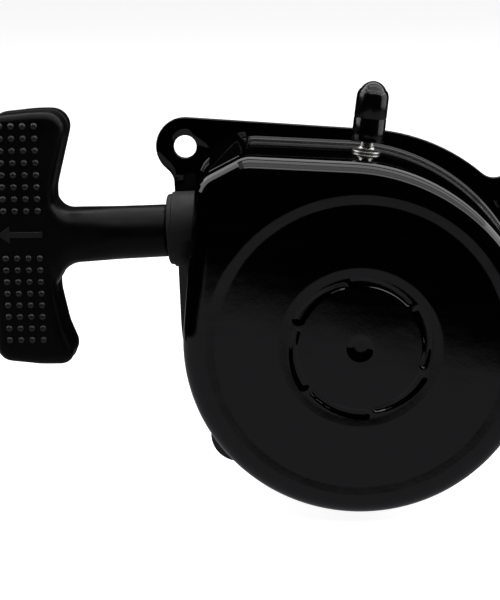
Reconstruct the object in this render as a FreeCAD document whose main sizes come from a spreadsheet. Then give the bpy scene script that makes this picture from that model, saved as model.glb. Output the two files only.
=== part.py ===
"""Recoil (pull-cord) starter of a small engine, in millimetres.

The spin axis is the Y axis and the origin lies on it, in the plane of the mounting
flange's back face. The closed front of the case looks towards -Y, the engine stands
on the +Y side, and +Z is up. The pull handle hangs out on the left, towards -X.
"""
import FreeCAD, Part
import math
import os

import Sketcher

Vector = FreeCAD.Vector
Rotation = FreeCAD.Rotation
Placement = FreeCAD.Placement

doc = FreeCAD.newDocument("recoil_starter")
sheet = doc.addObject("Spreadsheet::Sheet", "sizes")

DRIVING_DIMENSIONS = [
    ("case_depth", 50.0, "flange back to closed front"),
    ("sheet_thick", 1.8, "drawn steel sheet of the case"),
    ("drum_radius", 67.1, "outer radius of the drum wall"),
    ("front_round", 7.0, "outer radius of the front edge"),
    ("corner_round", 5.0, "rounding of the slanted wall's top corner"),
    ("left_corner_round", 9.0, "rounding of the slanted wall's left corner"),
    ("left_corner_x", -62.0, "foot of the slanted corner wall, left end"),
    ("left_corner_z", 62.4, "foot of the slanted corner wall, left end"),
    ("top_corner_x", -44.1, "foot of the slanted corner wall, top end"),
    ("top_corner_z", 71.9, "foot of the slanted corner wall, top end"),
    ("top_arc_radius", 76.0, "arc that joins the flat top to the drum"),
    ("top_arc_join", 40.0, "direction, in degrees, where that arc meets the drum"),
    ("recess_radius", 58.7, "outer edge of the front's shallow step"),
    ("recess_floor_radius", 54.5, "inner edge of the front's shallow step"),
    ("recess_depth", 1.2, "depth of the front's shallow step"),
    ("centre_radius", 31.0, "outer edge of the second shallow step"),
    ("centre_floor_radius", 27.4, "inner edge of the second shallow step"),
    ("centre_depth", 0.8, "depth of the second shallow step"),
    ("dent_outer", 27.2, "outer radius of the ring of pressed dents"),
    ("dent_inner", 23.3, "inner radius of the ring of pressed dents"),
    ("dent_depth", 1.3, "depth of a pressed dent"),
    ("dent_span", 52.0, "angle that one dent covers, in degrees"),
    ("dimple_radius", 5.0, "rim radius of the centre dimple"),
    ("dimple_depth", 1.0, "depth of the centre dimple"),
    ("flange_thick", 2.0, "mounting flange"),
    ("flange_radius", 71.4, "flange round the lower drum"),
    ("flange_top_radius", 76.2, "flange round the upper right of the drum"),
    ("ear_radius", 11.6, "rounding of a mounting ear about its hole"),
    ("hole_radius", 4.5, "mounting hole, clearance for an 8 mm bolt"),
    ("bolt_pocket", 9.5, "radius of the lower bolt pockets in the drum wall"),
    ("pocket_height", 32.0, "height of the lower bolt pockets"),
    ("rope_radius", 2.75, "pull rope"),
    ("rope_level", 25.0, "rope plane, in front of the flange back"),
    ("rope_run_radius", 43.9, "outermost turn's centre line on the reel"),
    ("rope_tilt", 3.0, "droop of the rope's straight run, in degrees"),
    ("coil_floor", 31.0, "inner radius of the wound rope"),
    ("guide_radius", 14.4, "rubber guide's collar"),
    ("guide_reach", 71.4, "guide's outer face, along the rope run"),
    ("guide_neck", 11.0, "guide's neck in the case wall"),
    ("ferrule_radius", 6.2, "outer radius of the guide's metal eyelet"),
    ("ferrule_bore", 3.6, "bore of the guide's metal eyelet"),
    ("grip_reach", 124.0, "grip's middle, along the rope run"),
    ("grip_half_height", 49.1, "half of the grip's length"),
    ("grip_half_width", 15.3, "half of the grip's width at its ends"),
    ("grip_half_waist", 9.3, "half of the grip's width beside the stem"),
    ("grip_turn", 2.15, "lean of the grip's bar away from square to the rope, in degrees"),
    ("grip_thick", 21.0, "grip, front to back"),
    ("grip_round", 3.5, "rounding of the grip's edges"),
    ("stem_radius", 10.5, "handle stem where it leaves the grip"),
    ("stem_tip_radius", 10.1, "handle stem at the guide"),
    ("post_radius", 7.0, "pivot post under the reel"),
    ("shank_radius", 4.9, "pivot post behind the reel"),
    ("run_gap", 0.05, "radial clearance of a turning fit"),
    ("bush_radius", 9.0, "outer radius of the reel's bush"),
    ("reel_radius", 52.0, "reel flanges"),
    ("groove_width", 12.0, "reel groove"),
    ("cup_radius", 45.0, "outer radius of the spring cup on the reel"),
    ("spring_radius", 40.5, "outermost turn of the recoil spring"),
    ("spring_width", 9.0, "recoil spring strip's width"),
    ("spring_strip", 0.6, "recoil spring strip's thickness"),
    ("spring_turns", 11, "turns of the recoil spring"),
    ("pawl_circle", 22.5, "radius of the pawl pins' circle"),
    ("pawl_length", 18.0, "pawl pin to pawl tip"),
    ("pawl_thick", 5.0, "pawl"),
    ("pin_radius", 2.5, "pawl pin"),
    ("peg_radius", 1.75, "peg on a pawl"),
    ("peg_reach", 10.5, "pawl pin to peg"),
    ("plate_radius", 31.0, "friction plate"),
    ("vent_x", 1.8, "vent's foot on the case's top wall"),
    ("vent_level", 20.0, "vent, in front of the flange back"),
    ("vent_tilt", 6.0, "vent's lean to the right, in degrees"),
    ("vent_radius", 2.75, "vent tube"),
    ("vent_bore", 1.7, "vent tube's bore"),
    ("collar_radius", 5.45, "vent collar"),
    ("cap_radius", 6.3, "vent cap"),
    ("cap_height", 23.0, "vent cap"),
]

for row, (alias, number, note) in enumerate(DRIVING_DIMENSIONS, start=1):
    sheet.set(f"A{row}", alias)
    sheet.set(f"B{row}", str(number))
    sheet.setAlias(f"B{row}", alias)
    sheet.set(f"C{row}", note)
doc.recompute()


class Size:
    """A length worked out from the sheet: its number, and the expression that binds it."""

    def __init__(self, number, text):
        self.number = float(number)
        self.text = text

    @staticmethod
    def of(other):
        return other if isinstance(other, Size) else Size(other, f"{float(other):.6f}")

    def joined(self, other, sign, number):
        return Size(number, f"({self.text} {sign} {Size.of(other).text})")

    def __add__(self, other):
        return self.joined(other, "+", self.number + Size.of(other).number)

    def __sub__(self, other):
        return self.joined(other, "-", self.number - Size.of(other).number)

    def __mul__(self, other):
        return self.joined(other, "*", self.number * Size.of(other).number)

    def __truediv__(self, other):
        return self.joined(other, "/", self.number / Size.of(other).number)

    def __neg__(self):
        return Size(-self.number, f"(0 - {self.text})")


def size(alias):
    """The sheet's cell of that name, as a Size."""
    return Size(sheet.get(alias), f"sizes.{alias}")


def value(alias):
    """The sheet's cell of that name, as a number."""
    return float(sheet.get(alias))


FULL_TURN = 360.0
TINY = 1e-6
FRONT = Vector(0, -1, 0)
ORIGIN = Vector(0, 0, 0)
parts = {}


def keep(node, obj, placement=None):
    """Registers a finished piece under the name its file will have."""
    obj.Label = node
    if placement:
        obj.Placement = placement
    parts[node] = obj
    return obj


def keep_shape(node, shape):
    """Registers a piece whose shape is worked out in code from the sheet's values."""
    piece = doc.addObject("Part::Feature", node)
    piece.Shape = shape
    return keep(node, piece, shape.Placement)


# ---------------------------------------------------------------- parametric helpers

def origin_plane(body, role):
    return [part for part in body.Origin.OriginFeatures if part.Role == role][0]


def sketch_on(body, name, role):
    sketch = body.newObject("Sketcher::SketchObject", name)
    sketch.AttachmentSupport = [(origin_plane(body, role), "")]
    sketch.MapMode = "FlatFace"
    return sketch


def add_outline(sketch, corners):
    """A closed outline of straight edges; each corner is held by two sheet expressions."""
    corners = [(Size.of(across), Size.of(along)) for across, along in corners]
    count = len(corners)
    for index in range(count):
        start = corners[index]
        end = corners[(index + 1) % count]
        line = Part.LineSegment(
            Vector(start[0].number, start[1].number, 0),
            Vector(end[0].number, end[1].number, 0),
        )
        sketch.addGeometry(line, False)
    for index in range(count):
        following = (index + 1) % count
        sketch.addConstraint(Sketcher.Constraint("Coincident", index, 2, following, 1))
    for index, corner in enumerate(corners):
        for kind, length in zip(("DistanceX", "DistanceY"), corner):
            rule = Sketcher.Constraint(kind, -1, 1, index, 1, length.number)
            number = sketch.addConstraint(rule)
            sketch.setExpression(f"Constraints[{number}]", length.text)


def turned_body(name, profile):
    """A body turned about the Y axis from a profile of (radius, place along Y) corners."""
    body = doc.addObject("PartDesign::Body", name)
    sketch = sketch_on(body, f"{name}_profile", "XY_Plane")
    add_outline(sketch, profile)
    turn = body.newObject("PartDesign::Revolution", f"{name}_turn")
    turn.Profile = (sketch, [""])
    turn.ReferenceAxis = (sketch, ["V_Axis"])
    turn.Angle = FULL_TURN
    body.Tip = turn
    return body


def tube_profile(inner, outer, start, end):
    return [(inner, start), (outer, start), (outer, end), (inner, end)]


def turned(node, profile, placement=None):
    return keep(node, turned_body(node, profile), placement)


def cylinder(name, radius, height, placement):
    """A Part cylinder along +Y from the placement's base."""
    piece = doc.addObject("Part::Cylinder", name)
    piece.setExpression("Radius", Size.of(radius).text)
    piece.setExpression("Height", Size.of(height).text)
    along_y = Placement(ORIGIN, Rotation(Vector(1, 0, 0), -90))
    piece.Placement = placement.multiply(along_y)
    return piece


def cut(name, base, tool):
    piece = doc.addObject("Part::Cut", name)
    piece.Base = base
    piece.Tool = tool
    return piece


def fuse(name, pieces):
    piece = doc.addObject("Part::MultiFuse", name)
    piece.Shapes = pieces
    return piece


def at(x, y, z):
    return Placement(Vector(x, y, z), Rotation())


def polar(radius, degrees):
    angle = math.radians(degrees)
    return radius * math.cos(angle), radius * math.sin(angle)


# ---------------------------------------------------------------- places worked out once

case_depth = size("case_depth")
sheet_thick = size("sheet_thick")
front_inside = -(case_depth - sheet_thick)
recess_inside = front_inside + size("recess_depth")
centre_inside = recess_inside + size("centre_depth")
dents_inside = centre_inside + size("dent_depth")
rope_plane = -size("rope_level")
groove_front = rope_plane - size("groove_width") / 2
groove_back = rope_plane + size("groove_width") / 2

WEB_THICK = 3.4
FLANGE_THICK = 2.5
reel_front = groove_front - WEB_THICK
reel_back = groove_back + FLANGE_THICK

# The rope's straight run, as a frame whose +Y points out along the rope.
tilt = math.radians(value("rope_tilt"))
rope_direction = Vector(-math.cos(tilt), 0, -math.sin(tilt))
rope_up = Vector(-math.sin(tilt), 0, math.cos(tilt))
rope_start = rope_up * value("rope_run_radius") + Vector(0, rope_plane.number, 0)
rope_side = rope_direction.cross(rope_up)
rope_frame = Placement(
    rope_start, Rotation(rope_side, rope_direction, rope_up, "XYZ")
)

# The case wall's outline, from its left tangent point clockwise to its right one.
drum_radius = value("drum_radius")
left_corner = Vector(value("left_corner_x"), 0, value("left_corner_z"))
top_corner = Vector(value("top_corner_x"), 0, value("top_corner_z"))
top_arc_radius = value("top_arc_radius")
join_x, join_z = polar(1.0, value("top_arc_join"))
join_direction = Vector(join_x, 0, join_z)
top_arc_centre = join_direction * (drum_radius - top_arc_radius)


def tangent_point(outside, centre, radius, side):
    """Where a line from a point outside a circle touches it; side is +1 or -1."""
    away = outside - centre
    angle = math.atan2(away.z, away.x) + side * math.acos(radius / away.Length)
    return centre + Vector(radius * math.cos(angle), 0, radius * math.sin(angle))


left_tangent = tangent_point(left_corner, ORIGIN, drum_radius, 1)
top_tangent = tangent_point(top_corner, top_arc_centre, top_arc_radius, -1)
wall_normal = Vector(left_tangent).normalize()


# ---------------------------------------------------------------- the pressed steel case

def prism(wire, start, depth):
    """The face inside a wire drawn in the XZ plane, moved to Y = start and extruded."""
    face = Part.Face(wire)
    face.translate(Vector(0, start, 0))
    return face.extrude(Vector(0, depth, 0))


def wall_outline():
    lowest = join_direction * -drum_radius
    drum = Part.Arc(join_direction * drum_radius, lowest, left_tangent)
    side = Part.LineSegment(left_tangent, left_corner)
    slant = Part.LineSegment(left_corner, top_corner)
    top = Part.LineSegment(top_corner, top_tangent)
    middle = (top_tangent - top_arc_centre) + (join_direction * top_arc_radius)
    bulge = top_arc_centre + middle.normalize() * top_arc_radius
    arc = Part.Arc(top_tangent, bulge, join_direction * drum_radius)
    return Part.Wire([edge.toShape() for edge in (drum, side, slant, top, arc)])


CORNER_REACH = 3.5


def upright(edge):
    """True for an edge that runs along Y."""
    return abs(edge.BoundBox.YLength - edge.Length) < TINY


def upright_edges(solid, corner):
    """The solid's edges along Y that stand at a corner of the outline."""
    found = []
    for edge in solid.Edges:
        middle = edge.CenterOfMass
        near = (Vector(middle.x, 0, middle.z) - corner).Length < CORNER_REACH
        if upright(edge) and near:
            found.append(edge)
    return found


def front_edges(solid):
    front = solid.BoundBox.YMin
    return [e for e in solid.Edges if e.BoundBox.YMax < front + TINY]


def wall_block(inset, start, front):
    """The block inside the wall outline, with its upright and front edges rounded."""
    wire = wall_outline()
    if inset:
        wire = wire.makeOffset2D(-inset)
    block = prism(wire, start, front - start)
    for corner, alias in ((top_corner, "corner_round"), (left_corner, "left_corner_round")):
        block = block.makeFillet(value(alias) - inset, upright_edges(block, corner))
    return block.makeFillet(value("front_round") - inset, front_edges(block))


def turned_tool(profile, span=FULL_TURN, start_angle=0.0):
    """A solid turned about Y from (radius, y) corners, over part of a turn if asked."""
    points = [Vector(radius, y, 0) for radius, y in profile]
    face = Part.Face(Part.makePolygon(points + points[:1]))
    solid = face.revolve(ORIGIN, FRONT, span)
    solid.rotate(ORIGIN, FRONT, start_angle)
    return solid


DENTS = 6
FIRST_DENT_ANGLE = 44.0


def front_relief(shift):
    """What is pressed in from the front: two shallow steps, six dents and a dimple."""
    front = -value("case_depth") + shift
    recess = front + value("recess_depth")
    centre = recess + value("centre_depth")
    outside = front - 2 * value("sheet_thick")
    tools = [turned_tool([
        (0, outside),
        (value("recess_radius"), outside),
        (value("recess_radius"), front),
        (value("recess_floor_radius"), recess),
        (value("centre_radius"), recess),
        (value("centre_floor_radius"), centre),
        (0, centre),
    ])]
    for dent in range(DENTS):
        tools.append(turned_tool(
            [
                (value("dent_inner") - shift / 2, outside),
                (value("dent_outer") + shift / 2, outside),
                (value("dent_outer") + shift / 2, centre + value("dent_depth")),
                (value("dent_inner") - shift / 2, centre + value("dent_depth")),
            ],
            value("dent_span") + 2 * shift,
            FIRST_DENT_ANGLE - shift + dent * FULL_TURN / DENTS,
        ))
    return tools


def dimple():
    """The shallow bowl pressed into the middle of the front."""
    rim, depth = value("dimple_radius"), value("dimple_depth")
    ball = (rim * rim + depth * depth) / (2 * depth)
    face = centre_inside.number - value("sheet_thick")
    return Part.makeSphere(ball, Vector(0, face + depth - ball, 0))


slant_direction = (top_corner - left_corner).normalize()
slant_normal = Vector(-slant_direction.z, 0, slant_direction.x)
BULGE_WIDTH = 16.8
BULGE_HEIGHT = 4.6
BULGE_START = 4.7
BULGE_FRONT = -42.0


def corner_bulge(inset):
    """The wedge pressed out of the slanted corner wall, tallest at the flange."""
    foot = left_corner + slant_direction * (BULGE_START + inset)
    sunk = -2 * value("corner_round")
    profile = [
        foot + slant_normal * (BULGE_HEIGHT - inset),
        foot + slant_normal * -inset + Vector(0, BULGE_FRONT, 0),
        foot + slant_normal * sunk + Vector(0, BULGE_FRONT, 0),
        foot + slant_normal * sunk,
    ]
    face = Part.Face(Part.makePolygon(profile + profile[:1]))
    return face.extrude(slant_direction * (BULGE_WIDTH - 2 * inset))


mount_holes = {
    "top_left": Vector(-69.0, 0, 68.8),
    "top_right": Vector(66.0, 0, 51.0),
    "bottom_left": Vector(-47.8, 0, -50.7),
    "bottom_right": Vector(45.2, 0, -52.3),
}


def post_at(radius, place, start, end):
    """A cylinder along Y at a place in the XZ plane."""
    base = Vector(place.x, min(start, end), place.z)
    return Part.makeCylinder(radius, abs(end - start), base, Vector(0, 1, 0))


POCKET_START = 1.0


def bolt_pockets(extra):
    """What the lower bolt pockets take out of the wall, or leave of its inside."""
    start = POCKET_START if extra else -value("flange_thick")
    end = -value("flange_thick") - value("pocket_height") - extra
    radius = value("bolt_pocket") + extra
    lower = [mount_holes["bottom_left"], mount_holes["bottom_right"]]
    return [post_at(radius, hole, start, end) for hole in lower]


def outer_tangent(centre_a, radius_a, centre_b, radius_b):
    """The two ends of the straight edge that runs over both circles, from a to b."""
    across = centre_b - centre_a
    lean = math.asin((radius_b - radius_a) / across.Length)
    heading = math.atan2(across.z, across.x) + lean
    outwards = Vector(-math.sin(heading), 0, math.cos(heading))
    return centre_a + outwards * radius_a, centre_b + outwards * radius_b


CORNER_SAMPLES = 24
SAMPLE_REACH = 0.3
MOSTLY_INSIDE = 0.55


def is_inner_corner(plate, edge):
    """True where the plate's outline turns inwards, so that a blend adds metal."""
    inside = 0
    for index in range(CORNER_SAMPLES):
        x, z = polar(SAMPLE_REACH, index * FULL_TURN / CORNER_SAMPLES)
        inside += plate.isInside(edge.CenterOfMass + Vector(x, 0, z), TINY, False)
    return inside > MOSTLY_INSIDE * CORNER_SAMPLES


def inner_corners(plate):
    return [e for e in plate.Edges if upright(e) and is_inner_corner(plate, e)]


LEFT_EDGE_ANGLE = 182.1
UPPER_RIM_END = 2.0
EAR_BLEND = 7.0
LEFT_EDGE_STOP = 4.0
RIM_STEP_BLEND = 3.0


def flange_plate():
    """The mounting flange: a rim round the drum, a straight-edged corner and four ears."""
    thick = value("flange_thick")
    ear = value("ear_radius")
    rim_radius = value("flange_radius")
    upper_radius = value("flange_top_radius")
    rim = post_at(rim_radius, ORIGIN, 0, -thick)
    top_left = mount_holes["top_left"]
    edge_start, edge_end = outer_tangent(top_left, ear, ORIGIN, upper_radius)
    foot_x, foot_z = polar(rim_radius, LEFT_EDGE_ANGLE)
    foot = Vector(foot_x, 0, foot_z)
    left_edge = Vector(foot_z, 0, -foot_x) / rim_radius
    corner = [edge_start, edge_end, ORIGIN, foot]
    corner += [foot + left_edge * (top_left.z - foot.z - LEFT_EDGE_STOP), top_left]
    reach = 2 * upper_radius
    end_x, end_z = polar(reach, UPPER_RIM_END)
    sector = [ORIGIN, edge_end * 2, Vector(reach, 0, reach), Vector(end_x, 0, end_z)]
    upper_rim = post_at(upper_radius, ORIGIN, 0, -thick)
    pieces = [
        prism(Part.makePolygon(corner + corner[:1]), 0, -thick),
        upper_rim.common(prism(Part.makePolygon(sector + sector[:1]), 0, -thick)),
    ]
    pieces += [post_at(ear, hole, 0, -thick) for hole in mount_holes.values()]
    plate = rim.fuse(pieces).removeSplitter()
    step = [e for e in inner_corners(plate) if abs(e.CenterOfMass.z) < ear]
    plate = plate.makeFillet(RIM_STEP_BLEND, step)
    return plate.makeFillet(EAR_BLEND, inner_corners(plate))


def rope_cylinder(radius, start, end):
    """A cylinder along the rope's straight run."""
    base = rope_start + rope_direction * start
    return Part.makeCylinder(radius, end - start, base, rope_direction)


VENT_SPAN = (-6.0, 30.0)
HOLE_SPAN = (2.0, -8.0)
GUIDE_HOLE_SPAN = (40.0, 80.0)
INNER_START = 1.0
vent_lean = math.radians(value("vent_tilt"))
vent_direction = Vector(math.sin(vent_lean), 0, math.cos(vent_lean))


def wall_top(x):
    """Height of the case's top wall over a place left or right of the spin axis."""
    reach = x - top_arc_centre.x
    return top_arc_centre.z + math.sqrt(top_arc_radius ** 2 - reach ** 2)


vent_foot = Vector(value("vent_x"), -value("vent_level"), wall_top(value("vent_x")))
vent_frame = Placement(vent_foot, Rotation(Vector(0, 1, 0), vent_direction))


def build_case():
    thick = value("sheet_thick")
    depth = value("case_depth")
    outer = wall_block(0, 0, -depth).fuse(corner_bulge(0))
    outer = outer.cut(front_relief(0) + bolt_pockets(0) + [dimple()])
    inner = wall_block(thick, INNER_START, -(depth - thick))
    inner = inner.fuse(corner_bulge(thick).translated(Vector(0, INNER_START, 0)))
    inner = inner.cut(front_relief(thick) + bolt_pockets(thick))
    shell = outer.fuse(flange_plate()).cut(inner)
    holes = [post_at(value("hole_radius"), hole, *HOLE_SPAN) for hole in mount_holes.values()]
    holes.append(rope_cylinder(value("guide_neck"), *GUIDE_HOLE_SPAN))
    reach = vent_direction * (VENT_SPAN[1] - VENT_SPAN[0])
    base = vent_foot + vent_direction * VENT_SPAN[0]
    holes.append(Part.makeCylinder(value("vent_radius"), reach.Length, base, vent_direction))
    return shell.cut(holes).removeSplitter()


keep_shape("case", build_case())


# ---------------------------------------------------------------- rope guide in the wall

GUIDE_LIP = 2.5
GUIDE_LIP_RADIUS = 13.2
GUIDE_CHAMFER = 0.9
GUIDE_RUN = 40.0
NECK_OVERLAP = 0.5
BLOCK = 80.0


def wall_slab(start, end):
    """Everything between two planes parallel to the left wall, outwards from it."""
    base = left_tangent + wall_normal * start + Vector(0, -BLOCK, 0)
    upwards = Vector(-wall_normal.z, 0, wall_normal.x)
    corners = [base - upwards * BLOCK, base + upwards * BLOCK]
    corners += [point + wall_normal * (end - start) for point in reversed(corners)]
    face = Part.Face(Part.makePolygon(corners + corners[:1]))
    return face.extrude(Vector(0, 2 * BLOCK, 0))


def build_guide():
    reach = value("guide_reach")
    wall = value("sheet_thick")
    collar = rope_cylinder(value("guide_radius"), reach - GUIDE_RUN, reach)
    rim = [e for e in collar.Edges if (e.CenterOfMass - rope_start).Length > reach - TINY]
    circles = [e for e in rim if e.Curve.TypeId == "Part::GeomCircle"]
    collar = collar.makeChamfer(GUIDE_CHAMFER, circles)
    collar = collar.common(wall_slab(0, BLOCK))
    neck = rope_cylinder(value("guide_neck"), reach - GUIDE_RUN, reach - NECK_OVERLAP)
    neck = neck.common(wall_slab(-wall, NECK_OVERLAP))
    lip = rope_cylinder(GUIDE_LIP_RADIUS, reach - GUIDE_RUN, reach)
    lip = lip.common(wall_slab(-wall - GUIDE_LIP, -wall))
    bore = rope_cylinder(value("ferrule_radius"), 0, 2 * reach)
    return collar.fuse([neck, lip]).cut(bore).removeSplitter()


keep_shape("rope_guide", build_guide())

FERRULE_LENGTH = 17.8
FERRULE_SUNK = 0.2
MOUTH_WIDTH = 1.3
MOUTH_DEPTH = 1.5
ferrule_outer = size("guide_reach") - FERRULE_SUNK
ferrule_inner = ferrule_outer - FERRULE_LENGTH
ferrule = size("ferrule_radius")
ferrule_bore = size("ferrule_bore")
turned("guide_ferrule", [
    (ferrule_bore, ferrule_inner + MOUTH_DEPTH),
    (ferrule_bore + MOUTH_WIDTH, ferrule_inner),
    (ferrule, ferrule_inner),
    (ferrule, ferrule_outer),
    (ferrule_bore + MOUTH_WIDTH, ferrule_outer),
    (ferrule_bore, ferrule_outer - MOUTH_DEPTH),
], rope_frame)


# ---------------------------------------------------------------- vent tube and its cap

def turned_about_vent(node, profile):
    return turned(node, profile, vent_frame)


vent_tube = size("vent_radius")
vent_bore = size("vent_bore")
collar = size("collar_radius")
TUBE_FOOT = -3.0
TUBE_TOP = 18.0
COLLAR_FOOT = 0.2
COLLAR_RIM = 1.0
COLLAR_NECK = 2.0
COLLAR_TOP = 2.6
CAP_FOOT = 4.3
CAP_DOME = [(0.1, 7.0), (0.35, 4.9), (1.0, 3.6), (1.7, 2.8), (3.3, 1.0), (5.0, 0.2)]
turned_about_vent("vent_tube", tube_profile(vent_bore, vent_tube, TUBE_FOOT, TUBE_TOP))
turned_about_vent("vent_collar", [
    (vent_tube, COLLAR_FOOT),
    (collar, COLLAR_FOOT),
    (collar, COLLAR_RIM),
    (collar - COLLAR_NECK, COLLAR_RIM + COLLAR_FOOT * 2),
    (collar - COLLAR_NECK, COLLAR_TOP),
    (vent_tube, COLLAR_TOP),
])
cap = size("cap_radius")
cap_top = size("cap_height") + CAP_FOOT
cap_bore = vent_tube + 0.02
turned_about_vent("vent_cap", [
    (cap_bore, CAP_FOOT),
    (cap - 0.5, CAP_FOOT),
    (cap, CAP_FOOT + 0.8),
    *[(cap - narrower, cap_top - lower) for narrower, lower in CAP_DOME],
    (0, cap_top),
    (0, TUBE_TOP + 1.0),
    (cap_bore, TUBE_TOP + 1.0),
])


# ---------------------------------------------------------------- pivot post and reel

post = size("post_radius")
shank = size("shank_radius")
run_gap = size("run_gap")
SHOULDER = -16.2
POST_END = -2.2
POST_FOOT_RADIUS = 12.0
post_foot = centre_inside + 0.02
turned("pivot_post", [
    (0, post_foot),
    (POST_FOOT_RADIUS, post_foot),
    (POST_FOOT_RADIUS, post_foot + 1.0),
    (post, post_foot + 1.0),
    (post, SHOULDER),
    (shank, SHOULDER),
    (shank, POST_END - 0.8),
    (shank - 0.8, POST_END),
    (0, POST_END),
])

plate_front = dents_inside + 0.05
SPRING_PLATE_THICK = 1.0
SPRING_PLATE_RADIUS = 42.0
plate_back = plate_front + SPRING_PLATE_THICK
turned("spring_plate", tube_profile(
    post + run_gap, SPRING_PLATE_RADIUS, plate_front, plate_back,
))

bush = size("bush_radius")
spring_front = plate_back + 0.4
spring_back = spring_front + size("spring_width")
HUB_RADIUS = 14.0
hub_front = spring_back + 0.3
BUSH_BACK = -16.5
turned("reel_bush", tube_profile(post + run_gap, bush, hub_front, BUSH_BACK))

reel = size("reel_radius")
cup = size("cup_radius")
coil_floor = size("coil_floor")
DRUM_WALL = 4.0
CUP_WALL = 2.5
reel_blank = turned_body("reel_blank", [
    (bush, hub_front),
    (cup - CUP_WALL, hub_front),
    (cup - CUP_WALL, spring_front),
    (cup, spring_front),
    (cup, reel_front),
    (reel, reel_front + 0.8),
    (reel, groove_front),
    (coil_floor, groove_front),
    (coil_floor, groove_back),
    (reel, groove_back),
    (reel, reel_back),
    (coil_floor - DRUM_WALL, reel_back),
    (coil_floor - DRUM_WALL, groove_front),
    (HUB_RADIUS, groove_front),
    (HUB_RADIUS, reel_back),
    (bush, reel_back),
])

PAWLS = 2
FIRST_PAWL_ANGLE = 60.0
PAWL_REST = 110.0
PAWL_SWING = 35.0
PLATE_SWING = 30.0
BOSS_RADIUS = 5.2
BOSS_BACK = -19.6
PAWL_FRONT = -16.3
pawl_circle = value("pawl_circle")
pin_places = [
    polar(pawl_circle, FIRST_PAWL_ANGLE + index * FULL_TURN / PAWLS)
    for index in range(PAWLS)
]
pin = size("pin_radius")
pawl_back = Size.of(PAWL_FRONT) + size("pawl_thick")
PIN_FRONT = -30.0
KNOT_DEPTH = 10.6
knot_x, knot_z = polar(value("coil_floor") - KNOT_DEPTH, -20.0)
KNOT_RADIUS = 4.6
knot_direction = Vector(knot_x, 0, knot_z).normalize()

bosses = [
    cylinder(f"pin_boss_{index}", BOSS_RADIUS, BOSS_BACK - groove_front.number,
             at(x, groove_front.number, z))
    for index, (x, z) in enumerate(pin_places)
]
RIBS = 6
RIB_THICK = 2.0
RIB_SHORT = 6.0
RIB_OVERLAP = 0.5
FIRST_RIB_ANGLE = 10.0


def reel_rib(index):
    """A radial rib between the reel's hub and its drum."""
    rib = doc.addObject("Part::Box", f"reel_rib_{index}")
    length = coil_floor - DRUM_WALL - HUB_RADIUS + 2 * RIB_OVERLAP
    rib.setExpression("Length", length.text)
    rib.setExpression("Width", (size("groove_width") - RIB_SHORT).text)
    rib.Height = RIB_THICK
    spin = Rotation(FRONT, FIRST_RIB_ANGLE + index * FULL_TURN / RIBS)
    start = Vector(HUB_RADIUS - RIB_OVERLAP, groove_front.number, -RIB_THICK / 2)
    corner = spin.multVec(start)
    rib.Placement = Placement(corner, spin)
    return rib


ribs = [reel_rib(index) for index in range(RIBS)]
reel_body = fuse("reel_body", [reel_blank] + bosses + ribs)
pin_bores = [
    cylinder(f"pin_bore_{index}", pin, 30.0, at(x, PIN_FRONT, z))
    for index, (x, z) in enumerate(pin_places)
]
ROPE_PLAY = 0.15
ROPE_BORE_START = 22.0
ROPE_BORE_LENGTH = 16.0
rope_bore = cylinder(
    "reel_rope_bore", size("rope_radius") + ROPE_PLAY, ROPE_BORE_LENGTH,
    Placement(knot_direction * ROPE_BORE_START + Vector(0, rope_plane.number, 0),
              Rotation(Vector(0, 1, 0), knot_direction)),
)
KNOT_ROOM_RADIUS = 5.5
knot_room = cylinder(
    "reel_knot_room", KNOT_ROOM_RADIUS, 30.0,
    at(knot_x, rope_plane.number - KNOT_ROOM_RADIUS, knot_z),
)
NOTCH_SIZE = (8.0, 12.0, 6.0)
NOTCH_INSET = 5.0
notch = doc.addObject("Part::Box", "spring_notch")
notch.Length, notch.Width, notch.Height = NOTCH_SIZE
notch.Placement = at(cup.number - NOTCH_INSET, spring_front.number - 1.0, -NOTCH_SIZE[2] / 2)
reel_cuts = fuse("reel_cuts", pin_bores + [rope_bore, knot_room, notch])
keep("reel", cut("reel_cut", reel_body, reel_cuts))


# ---------------------------------------------------------------- the recoil spring

def spiral_edge(start_radius, pitch, half_turns):
    """A spiral of half circles about two centres, from its inner end outwards."""
    arcs = []
    centre = 0.0
    radius = start_radius
    side = 1
    for _ in range(half_turns):
        start = Vector(centre + side * radius, 0, 0)
        middle = Vector(centre, 0, side * radius)
        end = Vector(centre - side * radius, 0, 0)
        arcs.append(Part.Arc(start, middle, end).toShape())
        centre += side * pitch / 2
        radius += pitch / 2
        side = -side
    return arcs


SPRING_EYE_RADIUS = 11.0
SPRING_TAB = 4.5
TAB_GAP = 0.1


def build_spring():
    """A flat strip wound in a spiral, its ends turned into the post and the reel's cup."""
    strip = value("spring_strip")
    width = value("spring_width")
    turns = int(value("spring_turns"))
    tab_foot = value("post_radius") + TAB_GAP
    pitch = (value("spring_radius") - strip - SPRING_EYE_RADIUS) / turns
    inside = spiral_edge(SPRING_EYE_RADIUS, pitch, 2 * turns)
    outside = spiral_edge(SPRING_EYE_RADIUS + strip, pitch, 2 * turns)
    ends = []
    for place in (0, -1):
        point = 0 if place == 0 else 1
        a = inside[place].Vertexes[point].Point
        b = outside[place].Vertexes[point].Point
        ends.append(Part.LineSegment(a, b).toShape())
    wire = Part.Wire(Part.__sortEdges__(inside + outside + ends))
    coil = Part.Face(wire).extrude(Vector(0, width, 0))
    start = inside[0].Vertexes[0].Point
    finish = outside[-1].Vertexes[1].Point
    inner_tab = Part.makeBox(start.x - tab_foot, width, strip, Vector(tab_foot, 0, -strip))
    tab_start = Vector(finish.x - strip, 0, 0)
    outer_tab = Part.makeBox(SPRING_TAB, width, strip, tab_start)
    link = Part.makeBox(strip, width, strip, Vector(start.x, 0, -strip))
    spring = coil.fuse([inner_tab, link, outer_tab])
    spring.translate(Vector(0, spring_front.number, 0))
    return spring.removeSplitter()


keep_shape("recoil_spring", build_spring())


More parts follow.
